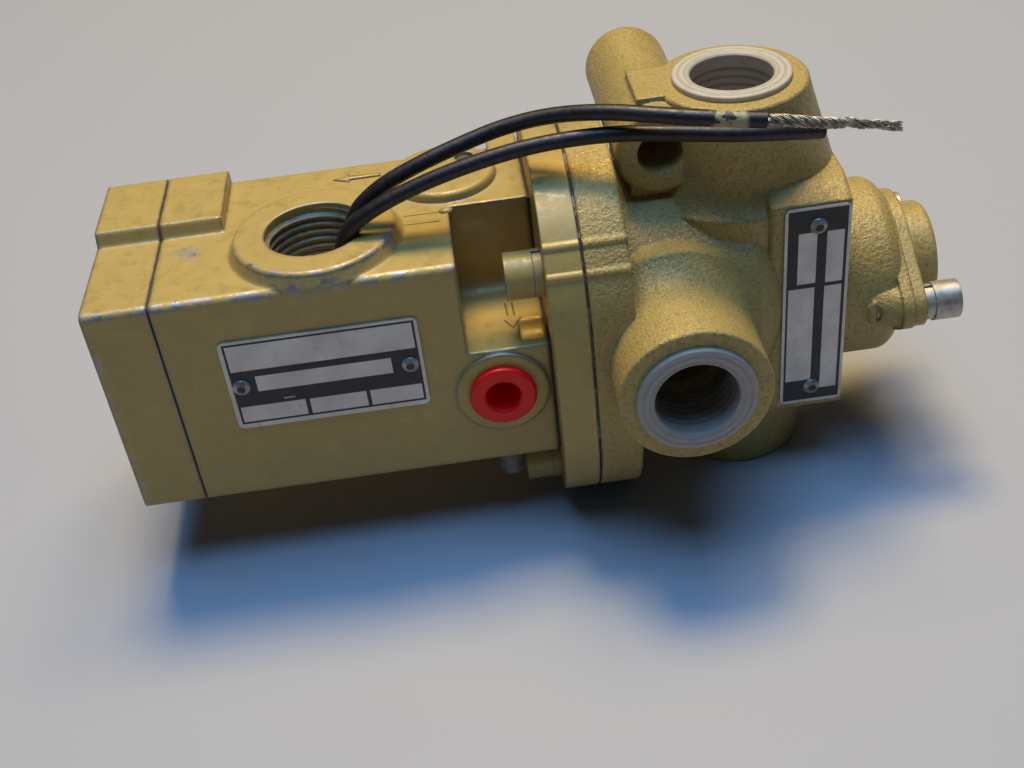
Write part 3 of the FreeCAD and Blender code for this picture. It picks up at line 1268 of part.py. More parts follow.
def nameplates():
    """Both nameplates, bare, and their rivets."""
    corner = "plate_corner"
    label = sheet_metal("label_sheet", rounded(
        "label_low", "(label_low + label_height)", "-label_left", "(-label_left + label_width)",
        corner, corner), "-housing_front", "plate_sheet")
    tag = sheet_metal("tag_sheet", rounded(
        "tag_low", "(tag_low + tag_height)", "tag_left", "(tag_left + tag_width)",
        corner, corner), "-pad_face", "plate_sheet")
    for name, sheet_part, face, spots in (
        ("left_nameplate", label, "-housing_front", label_rivets()),
        ("right_nameplate", tag, "-pad_face", tag_rivets()),
    ):
        holes = [
            rod("%s_hole%d" % (name, index), "rivet_shank_radius + running_fit", "4", (x, face + " - 2", z), "y")
            for index, (x, z) in enumerate(spots)
        ]
        node(name, cut(name, sheet_part, holes))
    rivets = []
    for face, spots in (("-housing_front", label_rivets()), ("-pad_face", tag_rivets())):
        for x, z in spots:
            rivets.append(turned("rivet%d" % len(rivets), [
                ("-rivet_head", "0"),
                ("-rivet_head", "rivet_radius * 0.45"),
                ("-rivet_head * 0.45", "rivet_radius * 0.92"),
                ("0", "rivet_radius"),
                ("0", "rivet_shank_radius"),
                ("rivet_shank", "rivet_shank_radius"),
                ("rivet_shank", "0"),
            ], (x, face + " - plate_sheet", z), "y"))
    node("nameplate_rivets", grouped("nameplate_rivets", rivets))


def tube_path(points):
    """Straight runs joined by tangent arcs. Returns the wire and its arcs' radii."""
    corners = [V(*point) for point in points]
    edges, radii = [], []
    start = corners[0]
    for before, here, after in zip(corners, corners[1:], corners[2:]):
        back, ahead = before - here, after - here
        shorter = min(back.Length, ahead.Length)
        half_turn = (math.pi - back.getAngle(ahead)) / 2
        reach = 0.45 * shorter
        radii.append(reach / math.tan(half_turn))
        back.normalize()
        ahead.normalize()
        first, last = here + back * reach, here + ahead * reach
        inward = (back + ahead).normalize()
        middle = here + inward * (radii[-1] / math.cos(half_turn) - radii[-1])
        edges.append(Part.LineSegment(start, first).toShape())
        edges.append(Part.Arc(first, middle, last).toShape())
        start = last
    edges.append(Part.LineSegment(start, corners[-1]).toShape())
    return Part.Wire(edges), radii


def lead_wire(name, points, radius):
    """A round wire along a route."""
    path, radii = tube_path(points)
    heading = V(*points[1]) - V(*points[0])
    section = Part.Wire(Part.Circle(V(*points[0]), heading, value(radius)).toShape())
    tube = path.makePipeShell([section], True, False)
    item = doc.addObject("Part::Feature", name)
    item.Shape = tube
    ratio = tube.Volume / (math.pi * value(radius) ** 2 * path.Length)
    print("%s: length %.1f, smallest radius %.1f, volume ratio %.4f" % (name, path.Length, min(radii), ratio))
    node(name, item)


def check_objects():
    """Stop if any object failed or any sub-part isn't a sound solid."""
    for item in doc.Objects:
        if "Invalid" in item.State or "Error" in item.State:
            raise RuntimeError("%s failed: %s" % (item.Name, item.State))
    for name, item in nodes.items():
        shape = item.Shape
        if shape.isNull() or not shape.isValid() or not shape.Solids:
            raise RuntimeError("%s is not a sound solid" % name)
        print("%-22s solids %d volume %10.1f" % (name, len(shape.Solids), shape.Volume))


def main():
    valve_body()
    moving_parts()
    end_retainer()
    adapter_plate()
    pilot_housing()
    housing_fittings()
    end_cap()
    solenoid()
    port_fillings()
    nameplates()
    lead_wire("lead_wire_a", WIRE_A, "wire_radius")
    lead_wire("lead_wire_b", WIRE_B, "wire_radius")
    lead_wire("wire_strands", STRANDS_A, "strand_radius")
    doc.recompute()
    check_objects()
    os.makedirs("parts", exist_ok=True)
    for name, item in nodes.items():
        item.Shape.exportStep("parts/%s.step" % name)


main()
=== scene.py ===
"""Looks of the pneumatic directional control valve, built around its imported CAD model."""

import json
import math

import bmesh
import bpy
from mathutils import Matrix, Vector, noise


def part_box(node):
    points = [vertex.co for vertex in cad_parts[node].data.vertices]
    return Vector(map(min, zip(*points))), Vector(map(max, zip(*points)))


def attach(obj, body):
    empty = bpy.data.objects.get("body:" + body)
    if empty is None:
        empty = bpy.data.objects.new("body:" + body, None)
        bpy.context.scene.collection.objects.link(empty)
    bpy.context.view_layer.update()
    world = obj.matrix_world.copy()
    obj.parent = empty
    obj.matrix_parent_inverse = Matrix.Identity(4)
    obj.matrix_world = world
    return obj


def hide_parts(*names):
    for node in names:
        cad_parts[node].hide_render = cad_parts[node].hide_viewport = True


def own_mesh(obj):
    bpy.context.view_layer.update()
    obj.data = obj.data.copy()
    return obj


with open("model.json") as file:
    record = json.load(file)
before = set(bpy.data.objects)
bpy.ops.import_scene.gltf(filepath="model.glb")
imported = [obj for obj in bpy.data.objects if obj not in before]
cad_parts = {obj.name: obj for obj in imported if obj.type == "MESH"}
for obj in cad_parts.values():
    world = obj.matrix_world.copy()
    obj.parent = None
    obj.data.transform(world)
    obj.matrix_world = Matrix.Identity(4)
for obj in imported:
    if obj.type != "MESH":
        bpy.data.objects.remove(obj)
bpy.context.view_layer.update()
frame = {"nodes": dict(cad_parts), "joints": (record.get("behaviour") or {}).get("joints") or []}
nodes = frame["nodes"]
scene = bpy.context.scene

MM = 0.001
X, Y, Z = 0, 1, 2
LOW, HIGH = 0, 1


def reach(node, end, axis):
    """How far the low or the high end of a CAD node reaches along an axis, in millimetres."""
    return round(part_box(node)[end][axis] / MM, 2)


def middle(node, axis):
    """The middle of a CAD node along an axis, in millimetres."""
    return (reach(node, LOW, axis) + reach(node, HIGH, axis)) / 2


# Main places of the valve, in millimetres: x to the end retainer, y away from the camera, z up

TOP_Z = reach("valve_body", HIGH, Z)
PORT_Z = TOP_Z / 2
FRONT_MOUTH_Y = reach("valve_body", LOW, Y)
FRONT_PORT_X = middle("front_port_protector", X)
PORT_BORE = 10.3
THREAD_PITCH = 1.81

CAP_FACE_X = reach("end_cap", LOW, X)
HOUSING_FRONT_Y = reach("end_cap", LOW, Y)
HOUSING_TOP_Z = 70.8
NOTCH_FLOOR_Z = 49.0
CONDUIT = (-89.6, -7.9)
CONDUIT_FACE_Z = reach("pilot_housing", HIGH, Z)
CONDUIT_BORE = 10.5
CONDUIT_RIM = 17.2

FLANGE_HALF = reach("adapter_plate", HIGH, Y)
FLANGE_TOP = reach("adapter_plate", HIGH, Z)
FLANGE_TOP_ROUND = 31.5
FLANGE_FOOT_ROUND = 29.5
GASKET_X = middle("body_gasket", X)

# Centres of the nameplate rivets, as (x, z)
RIVETS = ((-109.0, 49.05), (-73.6, 49.05), (13.2, 24.6), (13.2, 66.1))


# Node materials

BEVEL_SAMPLES = 8

# An edge shows where the rounded normal leaves the true one: their cosine where it starts and is full
EDGE_COSINES = (0.985, 0.86)

# Most of a noise texture's values lie between these.
NOISE_SPAN = (0.3, 0.7)

# The mix node has sockets for every kind of value. These are the ones for colours.
MIX_SHARE, MIX_FIRST, MIX_SECOND = 0, 6, 7
MIX_RESULT = 2


class Shade:
    """Builds one node material. Its coordinates are the frame's, in metres."""

    def __init__(self, name):
        self.material = bpy.data.materials.new(name)
        self.material.use_nodes = True
        self.tree = self.material.node_tree
        self.tree.nodes.clear()
        surface = self.node("OutputMaterial").inputs["Surface"]
        self.shader = self.node("BsdfPrincipled")
        self.tree.links.new(self.shader.outputs[0], surface)
        self.place = self.node("TexCoord").outputs["Object"]

    def node(self, kind):
        """A new shader node of this kind."""
        return self.tree.nodes.new("ShaderNode" + kind)

    def feed(self, socket, value):
        """Link a socket to another one, or give it a plain value."""
        if isinstance(value, bpy.types.NodeSocket):
            self.tree.links.new(value, socket)
        elif isinstance(value, tuple) and len(value) == 3 and socket.type == "RGBA":
            socket.default_value = value + (1.0,)
        else:
            socket.default_value = value

    def set(self, **values):
        """Feed inputs of the surface shader. Their names are written with _ for each space."""
        for name, value in values.items():
            self.feed(self.shader.inputs[name.replace("_", " ")], value)

    def base_colour(self):
        """The colour that the surface has so far."""
        return self.shader.inputs["Base Color"].links[0].from_socket

    def math(self, operation, *values, clamp=False):
        node = self.node("Math")
        node.operation = operation
        node.use_clamp = clamp
        for socket, value in zip(node.inputs, values):
            self.feed(socket, value)
        return node.outputs[0]

    def times(self, first, second):
        """Product of two values. For two masks, that is where both are 1."""
        return self.math("MULTIPLY", first, second)

    def most(self, values):
        """The greatest of some values. For masks, that is where any is 1."""
        top = values[0]
        for value in values[1:]:
            top = self.math("MAXIMUM", top, value)
        return top

    def vector_math(self, operation, *values, out="Vector"):
        node = self.node("VectorMath")
        node.operation = operation
        for socket, value in zip(node.inputs, values):
            self.feed(socket, value)
        return node.outputs[out]

    def noise(self, size, detail=2.0, roughness=0.5, stretch=(1, 1, 1), shift=(0, 0, 0)):
        """Noise whose lumps are about this large, in millimetres."""
        mapping = self.node("Mapping")
        self.feed(mapping.inputs["Vector"], self.place)
        mapping.inputs["Scale"].default_value = stretch
        mapping.inputs["Location"].default_value = shift
        node = self.node("TexNoise")
        self.feed(node.inputs["Vector"], mapping.outputs[0])
        node.inputs["Scale"].default_value = 1.0 / (size * MM)
        node.inputs["Detail"].default_value = detail
        node.inputs["Roughness"].default_value = roughness
        return node.outputs["Fac"]

    def ramp(self, value, low, high, start=0.0, end=1.0):
        """Straight change from start to end while value goes from low to high."""
        node = self.node("MapRange")
        for name, number in (("From Min", low), ("From Max", high), ("To Min", start), ("To Max", end)):
            node.inputs[name].default_value = number
        self.feed(node.inputs["Value"], value)
        return node.outputs["Result"]

    def wander(self, size, detail, start=0.0, end=1.0):
        """A value that wanders between start and end in patches about this large, in millimetres."""
        return self.ramp(self.noise(size, detail), *NOISE_SPAN, start, end)

    def mix(self, share, first, second):
        """The first colour where share is 0, and the second where it is 1."""
        node = self.node("Mix")
        node.data_type = "RGBA"
        self.feed(node.inputs[MIX_SHARE], share)
        self.feed(node.inputs[MIX_FIRST], first)
        self.feed(node.inputs[MIX_SECOND], second)
        return node.outputs[MIX_RESULT]

    def cover(self, colour, layer, mask, strength):
        """A colour with another one laid over it where the mask is 1, at this strength."""
        return self.mix(self.times(mask, strength), colour, layer)

    def bump(self, height, depth, strength=1.0, before=None):
        """Bump of this depth, in millimetres, over the normal that was there before."""
        node = self.node("Bump")
        self.feed(node.inputs["Height"], height)
        node.inputs["Distance"].default_value = depth * MM
        node.inputs["Strength"].default_value = strength
        if before is not None:
            self.feed(node.inputs["Normal"], before)
        return node.outputs[0]

    def bevel(self, radius):
        """Normal of a surface whose edges look rounded by this radius, in millimetres."""
        node = self.node("Bevel")
        node.samples = BEVEL_SAMPLES
        node.inputs["Radius"].default_value = radius * MM
        return node.outputs[0]

    def edge(self, radius):
        """1 on an edge, 0 away from it."""
        true_normal = self.node("NewGeometry").outputs["True Normal"]
        likeness = self.vector_math("DOT_PRODUCT", self.bevel(radius), true_normal, out="Value")
        return self.ramp(likeness, *EDGE_COSINES)

    def split(self):
        """The x, y and z of a place."""
        node = self.node("SeparateXYZ")
        self.feed(node.inputs[0], self.place)
        return node.outputs

    def gap(self, value, level):
        """Distance of a coordinate from a level that is given in millimetres."""
        return self.math("ABSOLUTE", self.math("SUBTRACT", value, level * MM))

    def band(self, value, low, high, soft=0.05):
        """1 where value is between low and high, in millimetres."""
        rise = self.ramp(value, (low - soft) * MM, (low + soft) * MM)
        fall = self.ramp(value, (high - soft) * MM, (high + soft) * MM, 1.0, 0.0)
        return self.times(rise, fall)

    def box(self, first, second, area, soft=0.05):
        """1 where two coordinates lie in an area: low and high of the first, then of the second."""
        return self.times(self.band(first, *area[:2], soft), self.band(second, *area[2:], soft))

    def line(self, start, end, half, level):
        """1 on a thin engraved line between two (x, y) places of a level surface, in millimetres."""
        run = (Vector(end) - Vector(start)) * MM
        flat = self.vector_math("MULTIPLY", self.place, (1.0, 1.0, 0.0))
        away = self.vector_math("SUBTRACT", flat, (start[X] * MM, start[Y] * MM, 0.0))
        along = self.vector_math("DOT_PRODUCT", away, (run.x, run.y, 0.0), out="Value")
        share = self.math("DIVIDE", along, run.length_squared, clamp=True)
        near = self.vector_math("SCALE", (run.x, run.y, 0.0))
        self.feed(near.node.inputs["Scale"], share)
        gap = self.vector_math("DISTANCE", away, near, out="Value")
        mark = self.ramp(gap, half * 0.6 * MM, half * 1.3 * MM, 1.0, 0.0)
        return self.times(mark, self.band(self.split()[Z], level - 0.4, level + 0.4, 0.1))


GOLD = (0.475, 0.335, 0.098)
GOLD_WARM = (0.525, 0.365, 0.098)
GOLD_DULL = (0.34, 0.255, 0.10)
# Dark dirt colour, also used as painted shade in the skin's low spots and in engraved lines
GRIME_AND_SHADE = (0.08, 0.06, 0.036)
BARE = (0.36, 0.32, 0.27)

# How far from an edge the rubbing starts, and how far from it the metal is fully bare
RUBBED_EDGE = (2.0 * MM, 1.0 * MM)
RUBBED_RIM = (1.7 * MM, 0.9 * MM)

# A scuff on top of the housing, beside the cap: its left, right, front and back, and its soft border
TOP_SCUFF = (-119.6, -113.2, -8.2, -3.6)
SCUFF_BORDER = 1.6


def rubbed_rims(s):
    """Where handling has rubbed the long front edge, the cap's corner, the conduit boss and the top."""
    x, y, z = s.split()
    flat = s.vector_math("MULTIPLY", s.place, (1.0, 1.0, 0.0))
    radial = s.vector_math("DISTANCE", flat, (CONDUIT[X] * MM, CONDUIT[Y] * MM, 0.0), out="Value")
    front_edge = s.most([s.gap(y, HOUSING_FRONT_Y), s.gap(z, HOUSING_TOP_Z)])
    cap_corner = s.most([s.gap(y, HOUSING_FRONT_Y), s.gap(x, CAP_FACE_X)])
    boss_rim = s.most([s.gap(radial, CONDUIT_RIM), s.gap(z, CONDUIT_FACE_Z)])
    boss_front = s.ramp(y, -9.0 * MM, -16.0 * MM)
    at_top = s.ramp(z, (HOUSING_TOP_Z - 0.8) * MM, (HOUSING_TOP_Z - 0.2) * MM)
    return s.most([
        s.ramp(front_edge, *RUBBED_EDGE),
        s.ramp(cap_corner, *RUBBED_EDGE),
        s.times(boss_front, s.ramp(boss_rim, *RUBBED_RIM)),
        s.times(s.box(x, y, TOP_SCUFF, SCUFF_BORDER), at_top),
    ])


def worn_paint(s, wear, edge_size, rims):
    """Where the paint is gone: along edges, in a few rubbed patches and, where asked, on rubbed rims."""
    patchy = s.ramp(s.noise(2.6, 5.0, 0.65), 0.60 - wear, 0.67 - wear)
    worn_edges = s.times(s.edge(edge_size), patchy)
    rubbed_patches = s.times(s.ramp(s.noise(15.0, 5.0, 0.62), 0.69, 0.74), 0.45)
    worn = s.most([worn_edges, rubbed_patches])
    if rims:
        chipped = s.ramp(s.noise(3.2, 6.0, 0.7, shift=(0, 2.0, 0)), 0.46, 0.54)
        worn = s.most([worn, s.times(rubbed_rims(s), chipped)])
    return worn


def gold_paint(name, grain, depth, wear, edge_size, soft, mottle=0.5, sparkle=0.25, pits=0.0, marks=(),
               rims=False):
    """Worn gold paint over cast metal.

    grain and depth are the size and depth of the casting's skin, edge_size is the width of a worn edge
    and soft is how far an edge is rounded, all in millimetres. wear, mottle, sparkle and pits are shares;
    pits is the share of painted shade and dirt that darkens the low spots of the skin.
    marks are engraved lines, darkened with painted shade, and rims adds the rims that hands have rubbed.
    """
    s = Shade(name)
    warm_patches = s.ramp(s.noise(24.0, 3.0), 0.35, 0.65)
    dull_patches = s.ramp(s.noise(3.4, 4.0, 0.6), 0.38, 0.66)
    specks = s.ramp(s.noise(0.8, 2.0, shift=(3.1, 0, 0)), 0.735, 0.79)
    worn = worn_paint(s, wear, edge_size, rims)
    skin = s.noise(grain, 3.0, 0.6)

    colour = s.cover(GOLD, GOLD_WARM, warm_patches, mottle)
    colour = s.cover(colour, GOLD_DULL, dull_patches, 0.22)
    colour = s.cover(colour, GRIME_AND_SHADE, specks, 0.7)
    colour = s.mix(worn, colour, BARE)
    # Painted shade, with some dirt: the low spots of the casting skin are darkened
    if pits:
        colour = s.mix(s.ramp(skin, 0.50, 0.34, 0.0, pits), colour, GRIME_AND_SHADE)

    normal = s.bump(skin, depth, before=s.bevel(soft))
    normal = s.bump(s.noise(0.25, 1.0), 0.010, 0.8, normal)
    if marks:
        # Engraved lines, sunk by bump and darkened with painted shade
        shaded_cut = s.most([s.line(*mark) for mark in marks])
        colour = s.cover(colour, GRIME_AND_SHADE, shaded_cut, 0.7)
        normal = s.bump(shaded_cut, -0.25, 0.8, normal)

    glint = s.times(s.ramp(skin, 0.52, 0.70), sparkle)
    s.set(
        Base_Color=colour,
        Roughness=s.math("SUBTRACT", s.wander(5.0, 3.0, 0.42, 0.54), glint),
        Normal=normal,
        Metallic=s.ramp(worn, 0.0, 1.0, 0.12, 0.60),
        Specular_IOR_Level=0.5,
    )
    return s.material


def plain(name, colour, roughness, grain, depth, dirt, metallic=0.0, dirt_colour=GRIME_AND_SHADE, edge_size=0.25):
    """A machined or moulded surface with a little dirt and fine grain, as a shade to build on."""
    s = Shade(name)
    spots = s.ramp(s.noise(2.2, 4.0, 0.6), 0.50, 0.72)
    s.set(
        Base_Color=s.cover(colour, dirt_colour, spots, dirt),
        Roughness=s.wander(1.6, 3.0, roughness * 0.8, min(roughness * 1.25, 1.0)),
        Metallic=metallic,
        Normal=s.bump(s.noise(grain, 3.0), depth, before=s.bevel(edge_size)),
    )
    return s


def nameplate_print(name, ground, fields):
    """A printed nameplate: silver border, black ground and bare silver fields, as (x, x, z, z) areas."""
    s = Shade(name)
    coordinates = s.split()
    x, z = coordinates[X], coordinates[Z]
    black = s.box(x, z, ground)
    for field in fields:
        black = s.times(black, s.math("SUBTRACT", 1.0, s.box(x, z, field)))
    scratches = s.ramp(s.noise(1.4, 4.0, 0.6, stretch=(1, 1, 5)), 0.66, 0.70)
    stains = s.ramp(s.noise(2.6, 5.0, 0.6), 0.60, 0.74)
    silver = s.mix(s.wander(7.0, 3.0), (0.47, 0.45, 0.42), (0.60, 0.58, 0.55))
    silver = s.cover(silver, (0.22, 0.19, 0.15), stains, 0.5)
    ink = s.cover((0.010, 0.009, 0.010), (0.12, 0.11, 0.09), scratches, 0.5)
    dented = s.bump(s.noise(10.0, 1.0), 0.12)
    s.set(
        Base_Color=s.mix(black, silver, ink),
        Metallic=s.ramp(black, 0.0, 1.0, 0.55, 0.0),
        Roughness=s.wander(2.0, 3.0, 0.30, 0.44),
        Normal=s.bump(black, -0.02, before=dented),
    )
    return s.material


# A thread protector's rim has two round steps: inner and outer radius of each, in millimetres.
PROTECTOR_STEPS = ((9.35, 9.75), (10.75, 11.15))


def protector(name, axis, centre, colour):
    """Milky plastic with a stepped rim. Painted shade darkens it further in, in faint rings where the
    port's thread lies behind it, and on the rim's steps.
    """
    s = plain(name, colour, 0.42, grain=3.0, depth=0.05, dirt=0.25, dirt_colour=(0.30, 0.26, 0.19))
    flat = tuple(0.0 if k == axis else 1.0 for k in (X, Y, Z))
    away = s.vector_math("SUBTRACT", s.place, tuple(c * MM for c in centre))
    radial = s.vector_math("LENGTH", s.vector_math("MULTIPLY", away, flat), out="Value")
    steps = s.most([s.band(radial, low, high, 0.12) for low, high in PROTECTOR_STEPS])
    inward = s.gap(s.split()[axis], centre[axis])
    # Painted shade: darker further in, in rings at the thread's pitch, and on the rim's steps
    deep_shade = s.ramp(inward, 1.4 * MM, 2.2 * MM)
    rings = s.math("SINE", s.times(inward, 2 * math.pi / (THREAD_PITCH * MM)))
    ring_shadow = s.times(s.ramp(rings, -0.2, 0.9), s.times(deep_shade, 0.55))
    colour = s.cover(s.base_colour(), (0.42, 0.38, 0.30), deep_shade, 0.35)
    colour = s.cover(colour, (0.26, 0.25, 0.23), steps, 0.22)
    s.set(
        Base_Color=s.mix(ring_shadow, colour, (0.16, 0.14, 0.11)),
        Normal=s.bump(steps, -0.16, before=s.bevel(0.5)),
        Transmission_Weight=0.15,
        Subsurface_Weight=0.2,
        Subsurface_Scale=0.002,
    )
    return s.material


def rivet_metal():
    """Dull metal, with a hollow in the middle of each rivet's head that is darkened with painted shade."""
    s = plain("rivet_metal", (0.44, 0.40, 0.33), 0.40, grain=0.6, depth=0.05, dirt=0.6, metallic=0.55)
    upright = s.vector_math("MULTIPLY", s.place, (1.0, 0.0, 1.0))
    hollow = s.most([
        s.ramp(s.vector_math("DISTANCE", upright, (x * MM, 0.0, z * MM), out="Value"), 0.95 * MM, 0.70 * MM)
        for x, z in RIVETS
    ])
    # The hollows are sunk by bump and darkened with painted shade
    s.set(
        Base_Color=s.mix(hollow, s.base_colour(), (0.055, 0.045, 0.035)),
        Normal=s.bump(hollow, -0.5, before=s.bevel(0.25)),
    )
    return s.material


def red_plastic():
    """Bright red plastic that lets a little light in."""
    s = plain("red_plastic", (0.95, 0.012, 0.009), 0.34, grain=3.0, depth=0.02, dirt=0.05,
              dirt_colour=(0.4, 0.01, 0.01))
    s.set(Subsurface_Weight=0.15, Subsurface_Scale=0.001, Specular_IOR_Level=0.3)
    return s.material


# Engraved lines: from, to, half width and level, darkened with painted shade.
# Two grooves on the housing, and an arrow in the notch.
FINE_CUT = 0.16
BOLD_CUT = 0.20
ARROW_TIP = (-51.1, -17.8)
ENGRAVED = [
    ((-70.9, -2.7), (-63.5, -2.9), FINE_CUT, HOUSING_TOP_Z),
    ((-70.8, -6.4), (-63.5, -6.6), FINE_CUT, HOUSING_TOP_Z),
    (ARROW_TIP, (-52.7, -14.8), BOLD_CUT, NOTCH_FLOOR_Z),
    (ARROW_TIP, (-49.2, -14.3), BOLD_CUT, NOTCH_FLOOR_Z),
    ((-52.1, -8.3), (-51.9, -13.0), FINE_CUT, NOTCH_FLOOR_Z),
    ((-50.6, -8.3), (-50.5, -13.0), FINE_CUT, NOTCH_FLOOR_Z),
]

housing_paint = gold_paint("gold_die_cast", grain=2.8, depth=0.07, wear=0.17, edge_size=0.9, soft=1.5,
                           marks=ENGRAVED, rims=True)
cap_paint = gold_paint("gold_cap", grain=3.0, depth=0.07, wear=0.22, edge_size=1.0, soft=1.5, rims=True)
body_paint = gold_paint("gold_sand_cast", grain=0.72, depth=0.34, wear=0.06, edge_size=1.0, soft=1.1,
                        mottle=0.7, sparkle=0.36, pits=0.38)
plate_paint = gold_paint("gold_plate", grain=2.0, depth=0.06, wear=0.06, edge_size=0.6, soft=0.54)
retainer_paint = gold_paint("gold_retainer", grain=0.9, depth=0.20, wear=0.08, edge_size=0.8, soft=0.8,
                            pits=0.4)
screw_paint = gold_paint("gold_screw_heads", grain=1.6, depth=0.05, wear=0.22, edge_size=0.9, soft=0.4)

steel = plain("zinc_steel", (0.50, 0.46, 0.38), 0.42, grain=0.5, depth=0.02, dirt=0.45, metallic=0.65)
dark_steel = plain("dark_steel", (0.16, 0.13, 0.10), 0.45, grain=0.5, depth=0.02, dirt=0.5, metallic=0.7)
bright_steel = plain("bright_steel", (0.62, 0.62, 0.61), 0.24, grain=0.4, depth=0.01, dirt=0.15,
                     metallic=0.95)
brass = plain("brass", (0.62, 0.45, 0.18), 0.3, grain=0.5, depth=0.01, dirt=0.2, metallic=0.95)
dull_plug = plain("dull_plug", (0.20, 0.17, 0.11), 0.5, grain=0.6, depth=0.03, dirt=0.5, metallic=0.4)
thread_metal = plain("thread_metal", (0.34, 0.29, 0.19), 0.48, grain=0.5, depth=0.03, dirt=0.5,
                     metallic=0.35, dirt_colour=(0.06, 0.05, 0.04), edge_size=0.12)
rubber = plain("rubber", (0.022, 0.021, 0.02), 0.6, grain=0.4, depth=0.02, dirt=0.2)
seam = plain("gasket_sheet", (0.055, 0.040, 0.026), 0.55, grain=0.8, depth=0.05, dirt=0.5,
             dirt_colour=(0.02, 0.015, 0.01))
winding = plain("winding_resin", (0.05, 0.045, 0.04), 0.5, grain=0.6, depth=0.05, dirt=0.2)
bobbin = plain("bobbin_plastic", (0.62, 0.60, 0.54), 0.45, grain=0.8, depth=0.01, dirt=0.1)

front_port = (FRONT_PORT_X, FRONT_MOUTH_Y, PORT_Z)
top_port = (0.0, 0.0, TOP_Z)
# One milky plastic in two copies: darker on the front port as painted shade, lighter and warmer on the top
# port as painted light
front_protector = protector("milky_plastic_painted_shade", Y, front_port, (0.47, 0.43, 0.37))
top_protector = protector("milky_plastic_painted_light", Z, top_port, (0.68, 0.60, 0.44))

# Black ground and silver fields of the nameplates: left, right, bottom and top of each, in millimetres
LEFT_GROUND = (-110.9, -71.5, 39.3, 59.9)
LEFT_FIELDS = [
    (-110.4, -72.0, 53.0, 59.4), (-105.8, -77.4, 47.4, 51.3), (-110.4, -96.7, 39.8, 43.8),
    (-95.8, -83.8, 39.8, 43.7), (-83.0, -72.0, 39.8, 43.7), (-101.0, -98.6, 44.7, 44.95),
]
RIGHT_GROUND = (6.95, 19.45, 20.9, 70.0)
RIGHT_FIELDS = [
    (9.2, 13.1, 52.1, 64.6), (15.2, 18.8, 51.9, 64.5), (7.4, 13.0, 26.4, 51.0), (15.1, 18.8, 23.7, 51.0),
]


def paint(material, *names):
    """Give every slot of these CAD nodes this material."""
    for name in names:
        slots = nodes[name].data.materials
        for index in range(len(slots)):
            slots[index] = material
        if not len(slots):
            slots.append(material)


paint(housing_paint, "pilot_housing")
paint(cap_paint, "end_cap")
paint(body_paint, "valve_body")
paint(plate_paint, "adapter_plate")
paint(retainer_paint, "end_retainer")
paint(screw_paint, "flange_screws", "flange_washers")
paint(steel.material, "cap_screws", "housing_screws", "retainer_screws", "retainer_washers", "coil_yoke",
      "pole_piece")
paint(dark_steel.material, "override_button")
paint(bright_steel.material, "core_tube", "solenoid_plunger", "main_piston", "valve_stem", "plunger_spring",
      "override_spring", "return_spring")
paint(brass.material, "pilot_seat", "stem_guide")
paint(dull_plug.material, "vent_plug")
paint(rubber.material, "plunger_seal", "piston_seal", "exhaust_poppet", "inlet_poppet", "retainer_seal")
paint(seam.material, "cap_gasket", "pilot_gasket", "body_gasket")
paint(winding.material, "coil_winding")
paint(bobbin.material, "coil_bobbin")
paint(front_protector, "front_port_protector")
paint(top_protector, "top_port_protector")
paint(red_plastic(), "pilot_port_plug")
paint(rivet_metal(), "nameplate_rivets")
paint(nameplate_print("left_nameplate_print", LEFT_GROUND, LEFT_FIELDS), "left_nameplate")
paint(nameplate_print("right_nameplate_print", RIGHT_GROUND, RIGHT_FIELDS), "right_nameplate")


# Mesh helpers

def link(obj):
    """Put a new object in the scene."""
    scene.collection.objects.link(obj)
    return obj


def finished(name, mesh, material, smooth=True):
    """Turn a bmesh in metres into a piece of the valve."""
    bmesh.ops.recalc_face_normals(mesh, faces=mesh.faces)
    data = bpy.data.meshes.new(name)
    mesh.to_mesh(data)
    mesh.free()
    for face in data.polygons:
        face.use_smooth = smooth
    data.materials.append(material)
    piece = link(bpy.data.objects.new(name, data))
    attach(piece, "valve")
    return piece


def join_rings(mesh, rings):
    """Faces between rings of corners, and a cap at both ends. Gives back the last cap."""
    count = len(rings[0])
    for low, high in zip(rings, rings[1:]):
        for k in range(count):
            mesh.faces.new((low[k], low[(k + 1) % count], high[(k + 1) % count], high[k]))
    mesh.faces.new(list(reversed(rings[0])))
    return mesh.faces.new(rings[-1])


def frames_along(line):
    """For each point of a line: the point, and two directions across the line that don't twist."""
    last = len(line) - 1
    frames, side = [], None
    for index, spot in enumerate(line):
        ahead = (line[min(index + 1, last)] - line[max(index - 1, 0)]).normalized()
        side = ahead.orthogonal() if side is None else side - ahead * side.dot(ahead)
        side.normalize()
        frames.append((spot, side.copy(), ahead.cross(side)))
    return frames


def add_tube(mesh, line, radii, sides):
    """A closed tube along points in metres, with the radius at each point in millimetres."""
    turns = [2 * math.pi * k / sides for k in range(sides)]
    rings = []
    for (spot, side, across), radius in zip(frames_along(line), radii):
        rings.append([
            mesh.verts.new(spot + (side * math.cos(turn) + across * math.sin(turn)) * radius * MM)
            for turn in turns
        ])
    join_rings(mesh, rings)


# Threads in the four openings, in millimetres

THREAD_HEIGHT = 0.75
THREAD_ROOT = THREAD_PITCH * 0.46
THREAD_CREST = 0.12
ROOT_SUNK = 0.03
RUN_OUT_TURNS = 0.4
LEAST_WIDTH = 0.02
STEPS_A_TURN = 72

# Where each thread starts and ends, along its axis from the opening's face. The protectors hide the rest.
CONDUIT_THREAD = (-12.4, -1.0)
BOTTOM_THREAD = (1.2, 14.0)
TOP_THREAD = (-14.2, -10.6)
FRONT_THREAD = (10.6, 14.2)


